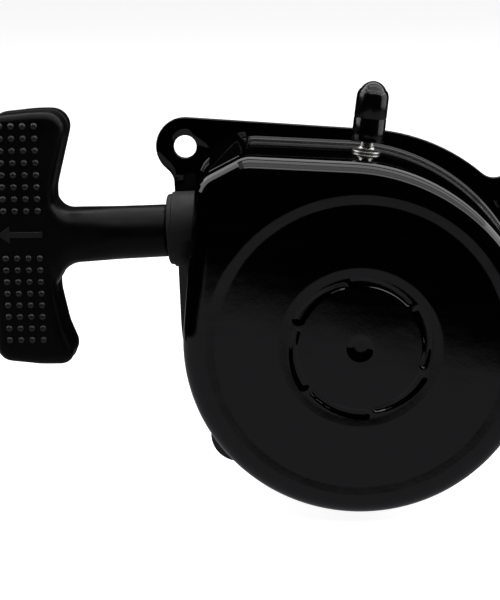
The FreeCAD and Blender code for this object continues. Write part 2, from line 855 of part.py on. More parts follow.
# ---------------------------------------------------------------- rope

coil_outer = size("rope_run_radius") + size("rope_radius")
COIL_GAP = 0.2
turned("rope_coil", tube_profile(
    coil_floor + COIL_GAP / 2, coil_outer, groove_front + COIL_GAP, groove_back - COIL_GAP,
))

KNOT_PLACE = 133.05
WASHER_FACE = 128.0
rope = size("rope_radius")
LEAD_START = 12.0
LEAD_END = 128.9
LEAD_GAP = 0.4
lead_blank = cylinder("rope_lead_blank", rope, LEAD_END - LEAD_START,
                      rope_frame.multiply(at(0, LEAD_START, 0)))
lead_room = cylinder("rope_lead_room", coil_outer + LEAD_GAP, 20.0, at(0, -35.0, 0))
keep("rope_lead", cut("rope_lead_cut", lead_blank, lead_room))


def knot(node, radius, tail_radius, tail_end, placement):
    """A stopper knot drawn up tight, with the rope that leaves it along +Y."""
    return turned(node, [
        (0, -radius),
        (radius * 0.6, -radius * 0.92),
        (radius, -radius * 0.4),
        (radius, radius * 0.4),
        (radius * 0.6, radius * 0.92),
        (tail_radius, radius),
        (tail_radius, tail_end),
        (0, tail_end),
    ], placement)


knot_centre = Vector(knot_x, rope_plane.number, knot_z)
knot_frame = Placement(knot_centre, Rotation(Vector(0, 1, 0), knot_direction))
knot("reel_knot", KNOT_RADIUS, rope, KNOT_DEPTH - 0.2, knot_frame)


# ---------------------------------------------------------------- handle

GRIP_CORNER_ROUND = 4.5
CHAMBER_RADIUS = 7.0
CHAMBER_START = 126.8
grip_reach = value("grip_reach")


def bar_corners():
    """The bar's outline, towards the case and up from the rope: straight sides to round."""
    top = value("grip_half_height")
    wide = value("grip_half_width")
    waist = value("grip_half_waist")
    shape = [
        (-wide, top - 2.0), (3.0, top - 0.4), (wide, top - 0.5), (wide, top - 8.2),
        (waist, 19.0), (waist, -22.0), (wide - 3.2, 13.6 - top), (wide - 0.2, 5.9 - top),
        (wide, -top - 0.4), (2.0, -top - 0.5), (-wide - 0.2, 1.2 - top),
    ]
    turn = math.radians(value("grip_turn"))
    middle = rope_start + rope_direction * grip_reach
    corners = []
    for ahead, up in shape:
        leaned_ahead = ahead * math.cos(turn) + up * math.sin(turn)
        leaned_up = up * math.cos(turn) - ahead * math.sin(turn)
        corners.append(middle - rope_direction * leaned_ahead + rope_up * leaned_up)
    return corners


def build_grip():
    """The T-shaped grip: a waisted bar across the rope and a round stem towards the case."""
    corners = bar_corners()
    half = value("grip_thick") / 2
    bar = prism(Part.makePolygon(corners + corners[:1]), -half, 2 * half)
    bar = bar.makeFillet(GRIP_CORNER_ROUND, [e for e in bar.Edges if upright(e)])
    flats = [e for e in bar.Edges if e.BoundBox.YLength < TINY]
    bar = bar.makeFillet(value("grip_round"), flats)
    stem_end = value("guide_reach") + 0.1
    stem = Part.makeCone(
        value("stem_tip_radius"), value("stem_radius"), grip_reach - stem_end,
        rope_start + rope_direction * stem_end, rope_direction,
    )
    rope_way = rope_cylinder(value("rope_radius") + ROPE_PLAY, stem_end - 1, CHAMBER_START + 1)
    chamber = rope_cylinder(CHAMBER_RADIUS, CHAMBER_START, 1.5 * grip_reach)
    return bar.fuse(stem).cut([rope_way, chamber]).removeSplitter()


keep_shape("handle_grip", build_grip())
PLUG_RADIUS = 6.9
PLUG_INNER = 137.6
PLUG_OUTER = 139.1
PLUG_BEVEL = 0.6
turned("handle_washer", tube_profile(
    size("rope_radius") + ROPE_PLAY, PLUG_RADIUS, CHAMBER_START + 0.05, WASHER_FACE,
), rope_frame)
turned("handle_plug", [
    (0, PLUG_INNER),
    (PLUG_RADIUS, PLUG_INNER),
    (PLUG_RADIUS, PLUG_OUTER - PLUG_BEVEL),
    (PLUG_RADIUS - PLUG_BEVEL, PLUG_OUTER),
    (0, PLUG_OUTER),
], rope_frame)
HANDLE_KNOT_RADIUS = 4.1
KNOT_END_RADIUS = 1.6
knot("handle_knot", HANDLE_KNOT_RADIUS, KNOT_END_RADIUS, HANDLE_KNOT_RADIUS + 0.05,
     rope_frame.multiply(at(0, KNOT_PLACE, 0)))


# ---------------------------------------------------------------- pawls and friction plate

def peg_place(index, swing):
    """The middle of a pawl's peg, in the reel's plane, when the pawl has swung out."""
    pivot_x, pivot_z = pin_places[index]
    heading = FIRST_PAWL_ANGLE + index * FULL_TURN / PAWLS + PAWL_REST - swing
    reach_x, reach_z = polar(value("peg_reach"), heading)
    return Vector(pivot_x + reach_x, 0, pivot_z + reach_z)


PAWL_ROOT = 4.6
PAWL_TIP = 2.2
PAWL_TIP_LEAN = 0.8
PEG_LEVELS = (PAWL_FRONT + 1.0, PAWL_FRONT + 7.6)


def build_pawl(index):
    """A pawl lying along the reel's back, with its tip ahead of its pin and a peg."""
    pivot = Vector(pin_places[index][0], 0, pin_places[index][1])
    heading = FIRST_PAWL_ANGLE + index * FULL_TURN / PAWLS + PAWL_REST
    ahead_x, ahead_z = polar(1.0, heading)
    ahead = Vector(ahead_x, 0, ahead_z)
    beside = Vector(-ahead.z, 0, ahead.x)
    length = value("pawl_length")
    thick = value("pawl_thick")
    tip = pivot + ahead * length
    flank = [
        pivot + beside * PAWL_ROOT,
        tip + beside * PAWL_TIP,
        tip + ahead * PAWL_TIP_LEAN - beside * PAWL_TIP,
        pivot - beside * PAWL_ROOT,
    ]
    bar = prism(Part.makePolygon(flank + flank[:1]), PAWL_FRONT, thick)
    eye = post_at(PAWL_ROOT, pivot, PAWL_FRONT, PAWL_FRONT + thick)
    peg = post_at(value("peg_radius"), peg_place(index, 0), *PEG_LEVELS)
    bore = post_at(value("pin_radius") + value("run_gap"), pivot, -40, 0)
    return bar.fuse([eye, peg]).cut(bore).removeSplitter()


for index, side in enumerate(("upper", "lower")):
    keep_shape(f"pawl_{side}", build_pawl(index))

PIN_PROUD = 0.1
pin_shafts = [
    cylinder(f"pawl_pin_{index}", pin, pawl_back - PIN_FRONT + PIN_PROUD, at(x, PIN_FRONT, z))
    for index, (x, z) in enumerate(pin_places)
]
pin_group = doc.addObject("Part::Compound", "pawl_pin_group")
pin_group.Links = pin_shafts
keep("pawl_pins", pin_group)


def coil_spring(middle, wire, pitch, half_turns, foot):
    """A round-wire coil about Y; each half turn is a plane arc in line with the next."""
    arcs = []
    side = 1
    for index in range(half_turns):
        start = Vector(side * middle, index * pitch / 2, 0)
        centre = Vector(0, (index + 0.5) * pitch / 2, 0)
        ring = Part.Circle(start, Vector(0, 0, 1), wire)
        face = Part.Face(Part.Wire([ring.toShape()]))
        axis = (start - centre).cross(Vector(0, 0, side))
        arcs.append(face.revolve(centre, axis, FULL_TURN / 2))
        side = -side
    coil = arcs[0].fuse(arcs[1:]).removeSplitter()
    coil.translate(foot)
    return coil


PAWL_SPRING_WIRE = 0.35
PAWL_SPRING_RADIUS = 3.5
PAWL_SPRING_PITCH = 0.8
SPRING_HALF_TURNS = 6


def build_pawl_springs():
    """Two small return springs, one coiled round each pawl pin under the pawl."""
    level = BOSS_BACK + PAWL_SPRING_WIRE + 0.1
    return Part.makeCompound([
        coil_spring(PAWL_SPRING_RADIUS, PAWL_SPRING_WIRE, PAWL_SPRING_PITCH,
                    SPRING_HALF_TURNS, Vector(x, level, z))
        for x, z in pin_places
    ])


keep_shape("pawl_springs", build_pawl_springs())

THRUST_WASHER_RADIUS = 12.5
turned("thrust_washer", tube_profile(
    shank + run_gap, THRUST_WASHER_RADIUS, SHOULDER, SHOULDER + 1.0,
))
PLATE_FRONT = -10.6
PLATE_BACK = -9.2
FRICTION_SPRING_WIRE = 0.6
FRICTION_SPRING_RADIUS = 8.0


def build_friction_spring():
    """A light coil spring that presses the friction plate against its washer."""
    front = SHOULDER + 1.1 + FRICTION_SPRING_WIRE
    back = PLATE_FRONT - 0.1 - FRICTION_SPRING_WIRE
    pitch = 2 * (back - front) / SPRING_HALF_TURNS
    return coil_spring(FRICTION_SPRING_RADIUS, FRICTION_SPRING_WIRE, pitch,
                       SPRING_HALF_TURNS, Vector(0, front, 0))


keep_shape("friction_spring", build_friction_spring())


SLOT_PLAY = 0.35
SLOT_STEPS = 6


def build_friction_plate():
    """The plate that holds back the pawls' pegs, so that they swing out as the reel turns."""
    plate = post_at(value("plate_radius"), ORIGIN, PLATE_FRONT, PLATE_BACK)
    tools = [post_at(value("shank_radius") + value("run_gap"), ORIGIN, -20, 0)]
    room = value("peg_radius") + SLOT_PLAY
    for index in range(PAWLS):
        places = []
        for step in range(SLOT_STEPS + 1):
            share = step / SLOT_STEPS
            place = peg_place(index, PAWL_SWING * share)
            turn = Rotation(FRONT, PLATE_SWING * share)
            places.append(turn.multVec(place))
        for start, end in zip(places, places[1:]):
            along = (end - start).normalize()
            beside = Vector(-along.z, 0, along.x) * room
            box = [start + beside, end + beside, end - beside, start - beside]
            tools.append(prism(Part.makePolygon(box + box[:1]), -14, 8))
        tools += [post_at(room, place, -14, -6) for place in places]
    return plate.cut(tools).removeSplitter()


keep_shape("friction_plate", build_friction_plate())

WASHER_BACK = -8.1
NUT_BACK = -3.0
FRICTION_WASHER_RADIUS = 10.0
turned("friction_washer", tube_profile(
    shank + run_gap, FRICTION_WASHER_RADIUS, PLATE_BACK + 0.05, WASHER_BACK,
))
NUT_FLATS = 16.0
nut_prism = doc.addObject("Part::Prism", "nut_prism")
nut_prism.Polygon = 6
nut_prism.Circumradius = NUT_FLATS / math.sqrt(3)
nut_prism.Height = NUT_BACK - WASHER_BACK - 0.05
nut_prism.Placement = Placement(Vector(0, WASHER_BACK + 0.05, 0), Rotation(Vector(1, 0, 0), -90))
nut_bore = cylinder("nut_bore", shank, 20.0, at(0, -18, 0))
keep("reel_nut", cut("reel_nut_cut", nut_prism, nut_bore))


# ---------------------------------------------------------------- check and write

doc.recompute()
for obj in doc.Objects:
    if {"Invalid", "Error"} & set(obj.State):
        raise RuntimeError(f"{obj.Label} failed: {obj.State}")
os.makedirs("parts", exist_ok=True)
for node, obj in parts.items():
    shape = obj.Shape
    if shape.isNull() or not shape.isValid():
        raise RuntimeError(f"{node} has no valid shape")
    print(f"{node}: {len(shape.Solids)} solid(s), {shape.Volume:.1f} mm3")
    shape.exportStep(f"parts/{node}.step")
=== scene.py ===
import itertools
import math

import bmesh
import bpy
import numpy as np
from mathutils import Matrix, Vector
from mathutils.geometry import tessellate_polygon


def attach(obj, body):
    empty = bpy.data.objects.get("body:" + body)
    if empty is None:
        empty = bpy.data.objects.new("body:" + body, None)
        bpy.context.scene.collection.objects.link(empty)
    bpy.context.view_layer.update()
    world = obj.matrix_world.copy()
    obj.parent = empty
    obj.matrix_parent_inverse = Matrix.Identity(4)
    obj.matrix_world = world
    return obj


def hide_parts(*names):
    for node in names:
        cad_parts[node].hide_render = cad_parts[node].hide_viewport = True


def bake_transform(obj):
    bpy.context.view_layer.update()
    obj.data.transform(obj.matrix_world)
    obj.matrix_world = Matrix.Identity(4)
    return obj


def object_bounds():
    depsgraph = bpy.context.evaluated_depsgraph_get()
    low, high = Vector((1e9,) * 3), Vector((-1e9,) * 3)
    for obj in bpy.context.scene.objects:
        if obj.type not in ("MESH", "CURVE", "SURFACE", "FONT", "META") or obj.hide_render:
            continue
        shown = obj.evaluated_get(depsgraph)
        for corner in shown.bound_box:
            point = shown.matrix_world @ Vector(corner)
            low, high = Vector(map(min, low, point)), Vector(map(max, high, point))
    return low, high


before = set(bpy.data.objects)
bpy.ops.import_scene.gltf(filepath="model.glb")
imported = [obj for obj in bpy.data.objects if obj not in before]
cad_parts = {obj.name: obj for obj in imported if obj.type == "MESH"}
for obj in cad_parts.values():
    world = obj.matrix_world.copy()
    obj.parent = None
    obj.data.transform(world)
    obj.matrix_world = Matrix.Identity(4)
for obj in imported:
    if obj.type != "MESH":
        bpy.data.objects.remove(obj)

# The looks of a recoil starter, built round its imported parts. Lengths below are in
# millimetres and become metres in make_piece. The spin axis is Y, the front faces -Y,
# +Z is up and the handle hangs out towards -X.

CAD_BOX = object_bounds()
MM = 0.001
FULL_TURN = 2 * math.pi

# The case. Its sizes are the CAD part's, except for the softer corner rounds and the
# flare at the foot of the wall, which only the looks have.
CASE_DEPTH = 50.0
SHEET = 1.8
DRUM_RADIUS = 67.1
FRONT_ROUND = 7.0
LEFT_CORNER = np.array([-62.0, 62.4])
TOP_CORNER = np.array([-44.1, 71.9])
TOP_ARC_RADIUS = 76.0
TOP_ARC_JOIN = math.radians(40.0)
CORNER_ROUND = 11.0
LEFT_CORNER_ROUND = 10.0
FLANGE_THICK = 2.0
FLANGE_FLARE = 2.6
FLARE_TUCK = 0.4
FLARE_OVERLAP = 0.3
FLANGE_ROUND_OFF = 0.4
POCKET_RADIUS = 9.5
POCKET_END = 34.0
SHELF_HALF = 1.5
OUTLINE_COLUMNS = 600
LOWER_HOLES = np.array([[-47.8, -50.7], [45.2, -52.3]])
BULGE_ROUND = 0.7

# The front's relief: outer radius, inner radius and depth of the two shallow steps, then
# the ring of dents and the centre dimple. The steps are shallower than the CAD part's.
RECESS = (58.7, 54.5, 0.21)
CENTRE = (31.0, 27.4, 0.11)
STEP_SOFT = 0.45
INNER_DROP = 1.4
INNER_DROP_WIDTH = 6.0
DENTS = 6
DENT_START = math.radians(42.0)
DENT_SPAN = math.radians(57.6)
DENT_DEPTH = 0.62
DENT_INNER = 23.4
DENT_INNER_DRIFT = -0.2
DENT_OUTER = 25.9
DENT_OUTER_DRIFT = 2.2
DENT_FLOOR = 0.30
DIMPLE_DEPTH = 1.0
DIMPLE_FLOOR = 2.3
DIMPLE_RIM = 5.1

# The rope's straight run: a frame along the rope, across it and up.
ROPE_TILT = math.radians(3.0)
ROPE_RADIUS = 2.75
ROPE_LEVEL = -25.0
ROPE_RUN_RADIUS = 43.9
ROPE_ALONG = np.array([-math.cos(ROPE_TILT), 0.0, -math.sin(ROPE_TILT)])
ROPE_UP = np.array([-math.sin(ROPE_TILT), 0.0, math.cos(ROPE_TILT)])
ROPE_ACROSS = np.array([0.0, 1.0, 0.0])
ROPE_START = ROPE_UP * ROPE_RUN_RADIUS + ROPE_ACROSS * ROPE_LEVEL
GUIDE_REACH = 71.4
GUIDE_RADIUS = 14.4
GUIDE_NECK = 11.0
GUIDE_BORE = 6.25
GRIP_REACH = 124.0
GRIP_HALF_THICK = 10.5


# ---------------------------------------------------------------- mesh helpers

class Skin:
    """Collects points and faces, in millimetres, for one mesh."""

    def __init__(self):
        self.points = []
        self.faces = []

    def add(self, points):
        start = len(self.points)
        self.points.extend(np.asarray(points, float).tolist())
        return start

    def rows(self, rows, close_round=True, flip=False, cap_start=False, cap_end=False):
        """A sheet through rows of points; each row may close on itself and be capped."""
        rows = np.asarray(rows, float)
        count, width, _ = rows.shape
        first = self.add(rows.reshape(-1, 3))
        spans = width if close_round else width - 1
        for row in range(count - 1):
            low = first + row * width
            high = low + width
            for i in range(spans):
                j = (i + 1) % width
                quad = [low + i, low + j, high + j, high + i]
                self.faces.append(quad[::-1] if flip else quad)
        for wanted, row, turn in ((cap_start, 0, not flip), (cap_end, count - 1, flip)):
            if wanted:
                tip = self.add([rows[row].mean(0)])
                base = first + row * width
                for i in range(width):
                    tri = [base + i, base + (i + 1) % width, tip]
                    self.faces.append(tri[::-1] if turn else tri)


def make_piece(name, skin, slot, body, replaces=(), sharp=40.0):
    """Turns a skin into a smooth-shaded piece that rides on a CAD body."""
    mesh = bpy.data.meshes.new(name)
    mesh.from_pydata((np.array(skin.points) * MM).tolist(), [], skin.faces)
    mesh.polygons.foreach_set("use_smooth", [True] * len(mesh.polygons))
    mesh.set_sharp_from_angle(angle=math.radians(sharp))
    mesh.update()
    piece = bpy.data.objects.new(name, mesh)
    bpy.context.scene.collection.objects.link(piece)
    mesh.materials.append(MATERIALS[slot])
    if replaces:
        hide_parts(*replaces)
    if body:
        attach(piece, body)
    return piece


def set_material(piece, material):
    piece.data.materials.clear()
    piece.data.materials.append(material)


def lathe(skin, profile, origin, axis, side, steps):
    """Turns (radius, distance along the axis) corners about an axis."""
    other = np.cross(axis, side)
    angles = np.arange(steps) * FULL_TURN / steps
    spokes = np.outer(np.cos(angles), side) + np.outer(np.sin(angles), other)
    rows = [origin + spokes * radius + axis * along for radius, along in profile]
    ring = profile[0] == profile[-1]
    skin.rows(rows, cap_start=not ring, cap_end=not ring)


def ramp(x, width, soft):
    """0 to 1 over a width, a straight slope with softened ends."""
    def bend(t):
        return np.where(t < -soft, 0.0, np.where(t > soft, t, (t + soft) ** 2 / (4 * soft)))
    return (bend(x) - bend(x - width)) / width


def ease(low, high, x):
    """0 to 1 between two places, slow at both ends."""
    share = np.clip((x - low) / (high - low), 0, 1)
    return share * share * (3 - 2 * share)


def rope_point(along):
    """A place on the rope's straight run."""
    return ROPE_START + ROPE_ALONG * along


# ---------------------------------------------------------------- materials

def new_material(name):
    """An empty material with one shader."""
    material = bpy.data.materials.new(name)
    material.use_nodes = True
    tree = material.node_tree
    tree.nodes.clear()
    output = tree.nodes.new("ShaderNodeOutputMaterial")
    shader = tree.nodes.new("ShaderNodeBsdfPrincipled")
    tree.links.new(shader.outputs["BSDF"], output.inputs["Surface"])
    return material, tree, shader


def noise(tree, vector, scale, detail=4.0, roughness=0.55):
    node = tree.nodes.new("ShaderNodeTexNoise")
    node.inputs["Scale"].default_value = scale
    node.inputs["Detail"].default_value = detail
    node.inputs["Roughness"].default_value = roughness
    tree.links.new(vector, node.inputs["Vector"])
    return node.outputs["Fac"]


def remap(tree, value, low, high, start=0.3, end=0.7):
    """A value from start to end, carried over to low to high."""
    node = tree.nodes.new("ShaderNodeMapRange")
    node.inputs["From Min"].default_value = start
    node.inputs["From Max"].default_value = end
    node.inputs["To Min"].default_value = low
    node.inputs["To Max"].default_value = high
    tree.links.new(value, node.inputs["Value"])
    return node.outputs["Result"]


def mixed(tree, share, first, second):
    """A colour between two, each a triple or a socket."""
    node = tree.nodes.new("ShaderNodeMix")
    node.data_type = "RGBA"
    tree.links.new(share, node.inputs["Factor"])
    for socket, colour in ((node.inputs[6], first), (node.inputs[7], second)):
        if isinstance(colour, tuple):
            socket.default_value = (*colour, 1.0)
        else:
            tree.links.new(colour, socket)
    return node.outputs[2]


def bump(tree, shader, height, distance, below=None):
    """Raises a height, a distance in metres, over the surface or over a bump below."""
    node = tree.nodes.new("ShaderNodeBump")
    node.inputs["Strength"].default_value = 1.0
    node.inputs["Distance"].default_value = distance
    tree.links.new(height, node.inputs["Height"])
    if below is not None:
        tree.links.new(below, node.inputs["Normal"])
    tree.links.new(node.outputs["Normal"], shader.inputs["Normal"])
    return node.outputs["Normal"]


def object_vector(tree, scale=(1.0, 1.0, 1.0)):
    place = tree.nodes.new("ShaderNodeTexCoord")
    mapping = tree.nodes.new("ShaderNodeMapping")
    mapping.inputs["Scale"].default_value = scale
    tree.links.new(place.outputs["Object"], mapping.inputs["Vector"])
    return mapping.outputs["Vector"]


def plain_finish(name, dark, light, rough, metal=0.0, cloud=60.0, grain=900.0,
                 grain_depth=0.00002, stretch=(1.0, 1.0, 1.0), specular=0.5, wear=None):
    """A finish with clouded colour, uneven gloss, fine grain and, if asked, rubbed edges."""
    material, tree, shader = new_material(name)
    vector = object_vector(tree, stretch)
    clouds = noise(tree, vector, cloud)
    colour = mixed(tree, remap(tree, clouds, 0.0, 1.0), dark, light)
    if wear is not None:
        geometry = tree.nodes.new("ShaderNodeNewGeometry")
        edges = remap(tree, geometry.outputs["Pointiness"], 0.0, 1.0, 0.53, 0.60)
        patches = remap(tree, noise(tree, vector, cloud * 6), 0.0, 1.0, 0.45, 0.65)
        both = tree.nodes.new("ShaderNodeMath")
        both.operation = "MULTIPLY"
        tree.links.new(edges, both.inputs[0])
        tree.links.new(patches, both.inputs[1])
        colour = mixed(tree, both.outputs[0], colour, wear)
    tree.links.new(colour, shader.inputs["Base Color"])
    gloss = remap(tree, noise(tree, vector, cloud * 2.7), rough[0], rough[1])
    tree.links.new(gloss, shader.inputs["Roughness"])
    shader.inputs["Metallic"].default_value = metal
    shader.inputs["Specular IOR Level"].default_value = specular
    bump(tree, shader, noise(tree, vector, grain), grain_depth)
    return material


def paint_finish():
    """Gloss black enamel over pressed steel: orange peel, faint wipe marks, dust specks."""
    material, tree, shader = new_material("case_paint")
    vector = object_vector(tree)
    clouds = remap(tree, noise(tree, vector, 35.0), 0.0, 1.0)
    base = mixed(tree, clouds, (0.0003, 0.0003, 0.00035), (0.0009, 0.0009, 0.001))
    specks = remap(tree, noise(tree, vector, 2600.0, 1.0), 0.0, 0.35, 0.74, 0.80)
    tree.links.new(mixed(tree, specks, base, (0.006, 0.006, 0.0063)), shader.inputs["Base Color"])
    wipes = noise(tree, object_vector(tree, (1.0, 1.0, 6.0)), 45.0, 6.0)
    tree.links.new(remap(tree, wipes, 0.035, 0.075), shader.inputs["Roughness"])
    peel = noise(tree, vector, 330.0, 2.0)
    below = bump(tree, shader, peel, 0.000006)
    waves = noise(tree, vector, 42.0, 1.0)
    bump(tree, shader, waves, 0.00006, below)
    return material


# Dark colour painted as shade in the low places between the cord's strands; the clean and worn
# tones are the strands' own.
CORD_CREVICE_SHADE = (0.10, 0.10, 0.095)
CORD_CLEAN = (0.50, 0.49, 0.46)
CORD_WORN = (0.30, 0.29, 0.27)
BRAID_LAY = 0.011
BRAID_STRANDS = 8.0


def braid_finish(name, along, across, up):
    """A braided cord: two crossing sets of strands laid out along its own direction, with painted
    shade in the valleys between them.
    """
    material, tree, shader = new_material(name)
    place = tree.nodes.new("ShaderNodeTexCoord")

    def measure(direction):
        node = tree.nodes.new("ShaderNodeVectorMath")
        node.operation = "DOT_PRODUCT"
        tree.links.new(place.outputs["Object"], node.inputs[0])
        node.inputs[1].default_value = direction
        return node.outputs["Value"]

    def combine(operation, first, second):
        node = tree.nodes.new("ShaderNodeMath")
        node.operation = operation
        for socket, item in zip(node.inputs, (first, second)):
            if isinstance(item, float):
                socket.default_value = item
            else:
                tree.links.new(item, socket)
        return node.outputs[0]

    run = measure(along)
    start = Vector((ROPE_START * MM).tolist())
    side = combine("SUBTRACT", measure(across), start.dot(across))
    rise = combine("SUBTRACT", measure(up), start.dot(up))
    turn = combine("ARCTAN2", rise, side)
    pitch = combine("MULTIPLY", run, FULL_TURN / BRAID_LAY)
    waves = []
    for hand in (1.0, -1.0):
        phase = combine("ADD", combine("MULTIPLY", turn, hand), pitch)
        waves.append(combine("SINE", combine("MULTIPLY", phase, BRAID_STRANDS / 2), 0.0))
    weave = combine("MULTIPLY", waves[0], waves[1])
    height = remap(tree, weave, 0.0, 1.0, -1.0, 1.0)
    dirt = remap(tree, noise(tree, object_vector(tree), 500.0), 0.0, 1.0)
    worn = mixed(tree, dirt, CORD_CLEAN, CORD_WORN)
    # Painted shade: the colour darkens where the weave is low, between the strands.
    colour = mixed(tree, height, CORD_CREVICE_SHADE, worn)
    tree.links.new(colour, shader.inputs["Base Color"])
    gloss = remap(tree, height, 0.9, 0.6, 0.0, 1.0)
    tree.links.new(gloss, shader.inputs["Roughness"])
    bump(tree, shader, height, 0.0003)
    return material


def cord_finish(name):
    """The same cord where it is coiled or knotted: short crossing strands, with painted shade
    where they meet.
    """
    material, tree, shader = new_material(name)
    vector = object_vector(tree)
    cells = tree.nodes.new("ShaderNodeTexVoronoi")
    cells.inputs["Scale"].default_value = 900.0
    tree.links.new(vector, cells.inputs["Vector"])
    height = remap(tree, cells.outputs["Distance"], 1.0, 0.0, 0.0, 0.8)
    dirt = remap(tree, noise(tree, vector, 400.0), 0.0, 1.0)
    worn = mixed(tree, dirt, CORD_CLEAN, CORD_WORN)
    # Painted shade: darker towards the cell edges, where the strands meet.
    tree.links.new(mixed(tree, height, CORD_CREVICE_SHADE, worn), shader.inputs["Base Color"])
    tree.links.new(remap(tree, height, 0.9, 0.65, 0.0, 1.0), shader.inputs["Roughness"])
    bump(tree, shader, height, 0.0003)
    return material


def grip_finish():
    """Black rubber, mottled by handling; the studs and arrow raised on its front face carry a
    painted sheen as a lighter colour, and a higher specular level.
    """
    material, tree, shader = new_material("grip_rubber")
    vector = object_vector(tree)
    place = tree.nodes.new("ShaderNodeSeparateXYZ")
    tree.links.new(vector, place.inputs["Vector"])
    face = (ROPE_LEVEL - GRIP_HALF_THICK) * MM
    low, high = face - 0.1 * MM, face - 0.4 * MM
    # Painted sheen: the studs and arrow raised on the front face get a lighter colour; the same
    # mask raises their specular level.
    painted_stud_sheen = remap(tree, place.outputs["Y"], 0.0, 1.0, low, high)
    clouds = remap(tree, noise(tree, vector, 75.0), 0.0, 1.0)
    base = mixed(tree, clouds, (0.0004, 0.0004, 0.0005), (0.0016, 0.0016, 0.0019))
    tree.links.new(mixed(tree, painted_stud_sheen, base, (0.006, 0.006, 0.0065)), shader.inputs["Base Color"])
    tree.links.new(remap(tree, painted_stud_sheen, 0.16, 0.65, 0.0, 1.0), shader.inputs["Specular IOR Level"])
    tree.links.new(remap(tree, noise(tree, vector, 130.0), 0.30, 0.46), shader.inputs["Roughness"])
    bump(tree, shader, noise(tree, vector, 1500.0), 0.000025)
    return material


MATERIALS = {
    "case_paint": paint_finish(),
    "guide_rubber": plain_finish(
        "guide_rubber", (0.0045, 0.0045, 0.005), (0.0095, 0.0095, 0.010), (0.50, 0.66),
        cloud=120.0, grain=2600.0, grain_depth=0.00003, specular=0.34),
    "zinc_steel": plain_finish(
        "zinc_steel", (0.50, 0.49, 0.46), (0.72, 0.71, 0.68), (0.24, 0.38), metal=1.0,
        cloud=160.0, grain=1500.0, grain_depth=0.000008, wear=(0.80, 0.79, 0.76)),
    "cap_vinyl": plain_finish(
        "cap_vinyl", (0.0006, 0.0006, 0.0007), (0.0016, 0.0016, 0.0018), (0.12, 0.20),
        cloud=150.0, grain=700.0, grain_depth=0.00001, specular=0.45),
    "bare_steel": plain_finish(
        "bare_steel", (0.30, 0.30, 0.30), (0.50, 0.50, 0.49), (0.25, 0.45), metal=1.0,
        cloud=90.0, grain=1800.0, grain_depth=0.00001, stretch=(1.0, 4.0, 1.0),
        wear=(0.66, 0.66, 0.65)),
    "bronze": plain_finish(
        "bronze", (0.42, 0.25, 0.10), (0.58, 0.37, 0.17), (0.30, 0.45), metal=1.0,
        cloud=120.0, grain=2500.0, grain_depth=0.00002),
    "reel_nylon": plain_finish(
        "reel_nylon", (0.016, 0.016, 0.017), (0.030, 0.030, 0.031), (0.38, 0.55),
        cloud=70.0, grain=1600.0, grain_depth=0.00002, wear=(0.06, 0.06, 0.06)),
    "spring_steel": plain_finish(
        "spring_steel", (0.10, 0.11, 0.14), (0.24, 0.24, 0.26), (0.22, 0.38), metal=1.0,
        cloud=110.0, grain=1500.0, grain_depth=0.000008, wear=(0.40, 0.36, 0.28)),
    "rope": braid_finish(
        "rope", Vector(ROPE_ALONG.tolist()), Vector(ROPE_ACROSS.tolist()),
        Vector(ROPE_UP.tolist())),
    "grip_rubber": grip_finish(),
}
COILED_CORD = cord_finish("rope_coiled")


# ---------------------------------------------------------------- the case's outline

def unit(angle):
    return np.array([math.cos(angle), math.sin(angle)])


def case_outline(columns):
    """Places and outward normals of the case wall at even angles about the spin axis."""
    arc_centre = unit(TOP_ARC_JOIN) * (DRUM_RADIUS - TOP_ARC_RADIUS)

    def touch(corner, centre, radius, side):
        away = corner - centre
        reach = np.linalg.norm(away)
        return math.atan2(away[1], away[0]) + side * math.acos(radius / reach)

    left = touch(LEFT_CORNER, np.zeros(2), DRUM_RADIUS, 1)
    top = touch(TOP_CORNER, arc_centre, TOP_ARC_RADIUS, -1)
    run = TOP_CORNER - LEFT_CORNER
    slant = math.atan2(run[0], -run[1])

    def corner_arc(corner, radius, first, second):
        normals = unit(first) + unit(second)
        centre = corner - radius * normals / (1 + unit(first) @ unit(second))
        return centre, radius, first, second

    arcs = [
        (np.zeros(2), DRUM_RADIUS, left, TOP_ARC_JOIN + FULL_TURN),
        (arc_centre, TOP_ARC_RADIUS, TOP_ARC_JOIN, top),
        corner_arc(TOP_CORNER, CORNER_ROUND, top, slant),
        corner_arc(LEFT_CORNER, LEFT_CORNER_ROUND, slant, left),
    ]
    places = []
    normals = []
    for centre, radius, start, end in arcs:
        samples = max(8, int(abs(end - start) * 600))
        angles = np.linspace(start, end, samples)
        normal = np.stack([np.cos(angles), np.sin(angles)], 1)
        arc = centre + normal * radius
        if places:
            share = np.linspace(0, 1, 400)[1:-1, None]
            places.append(places[-1][-1] * (1 - share) + arc[0] * share)
            normals.append(np.repeat(normal[:1], len(share), 0))
        places.append(arc)
        normals.append(normal)
    share = np.linspace(0, 1, 400)[1:-1, None]
    places.append(places[-1][-1] * (1 - share) + places[0][0] * share)
    normals.append(np.repeat(normals[0][:1], len(share), 0))
    places = np.concatenate(places)
    normals = np.concatenate(normals)
    turn = np.unwrap(np.arctan2(places[:, 1], places[:, 0]))
    wanted = turn[0] + np.arange(columns) * FULL_TURN / columns
    place = np.stack([np.interp(wanted, turn, places[:, k]) for k in (0, 1)], 1)
    normal = np.stack([np.interp(wanted, turn, normals[:, k]) for k in (0, 1)], 1)
    normal /= np.linalg.norm(normal, axis=1, keepdims=True)
    return wanted, place, normal


def pocketed(angles, place, radius):
    """Wall places, pressed in round the lower mounting holes."""
    reach = np.linalg.norm(place, axis=1)
    pressed = reach.copy()
    for hole in LOWER_HOLES:
        away = np.linalg.norm(hole)
        turn = angles - math.atan2(hole[1], hole[0])
        half = radius ** 2 - (away * np.sin(turn)) ** 2
        near = away * np.cos(turn) - np.sqrt(np.maximum(half, 0))
        inside = (half > 0) & (np.cos(turn) > 0)
        pressed = np.where(inside, np.minimum(pressed, near), pressed)
    smooth = pressed.copy()
    for _ in range(2):
        smooth = (np.roll(smooth, 1) + 2 * smooth + np.roll(smooth, -1)) / 4
    return place * (smooth / reach)[:, None]


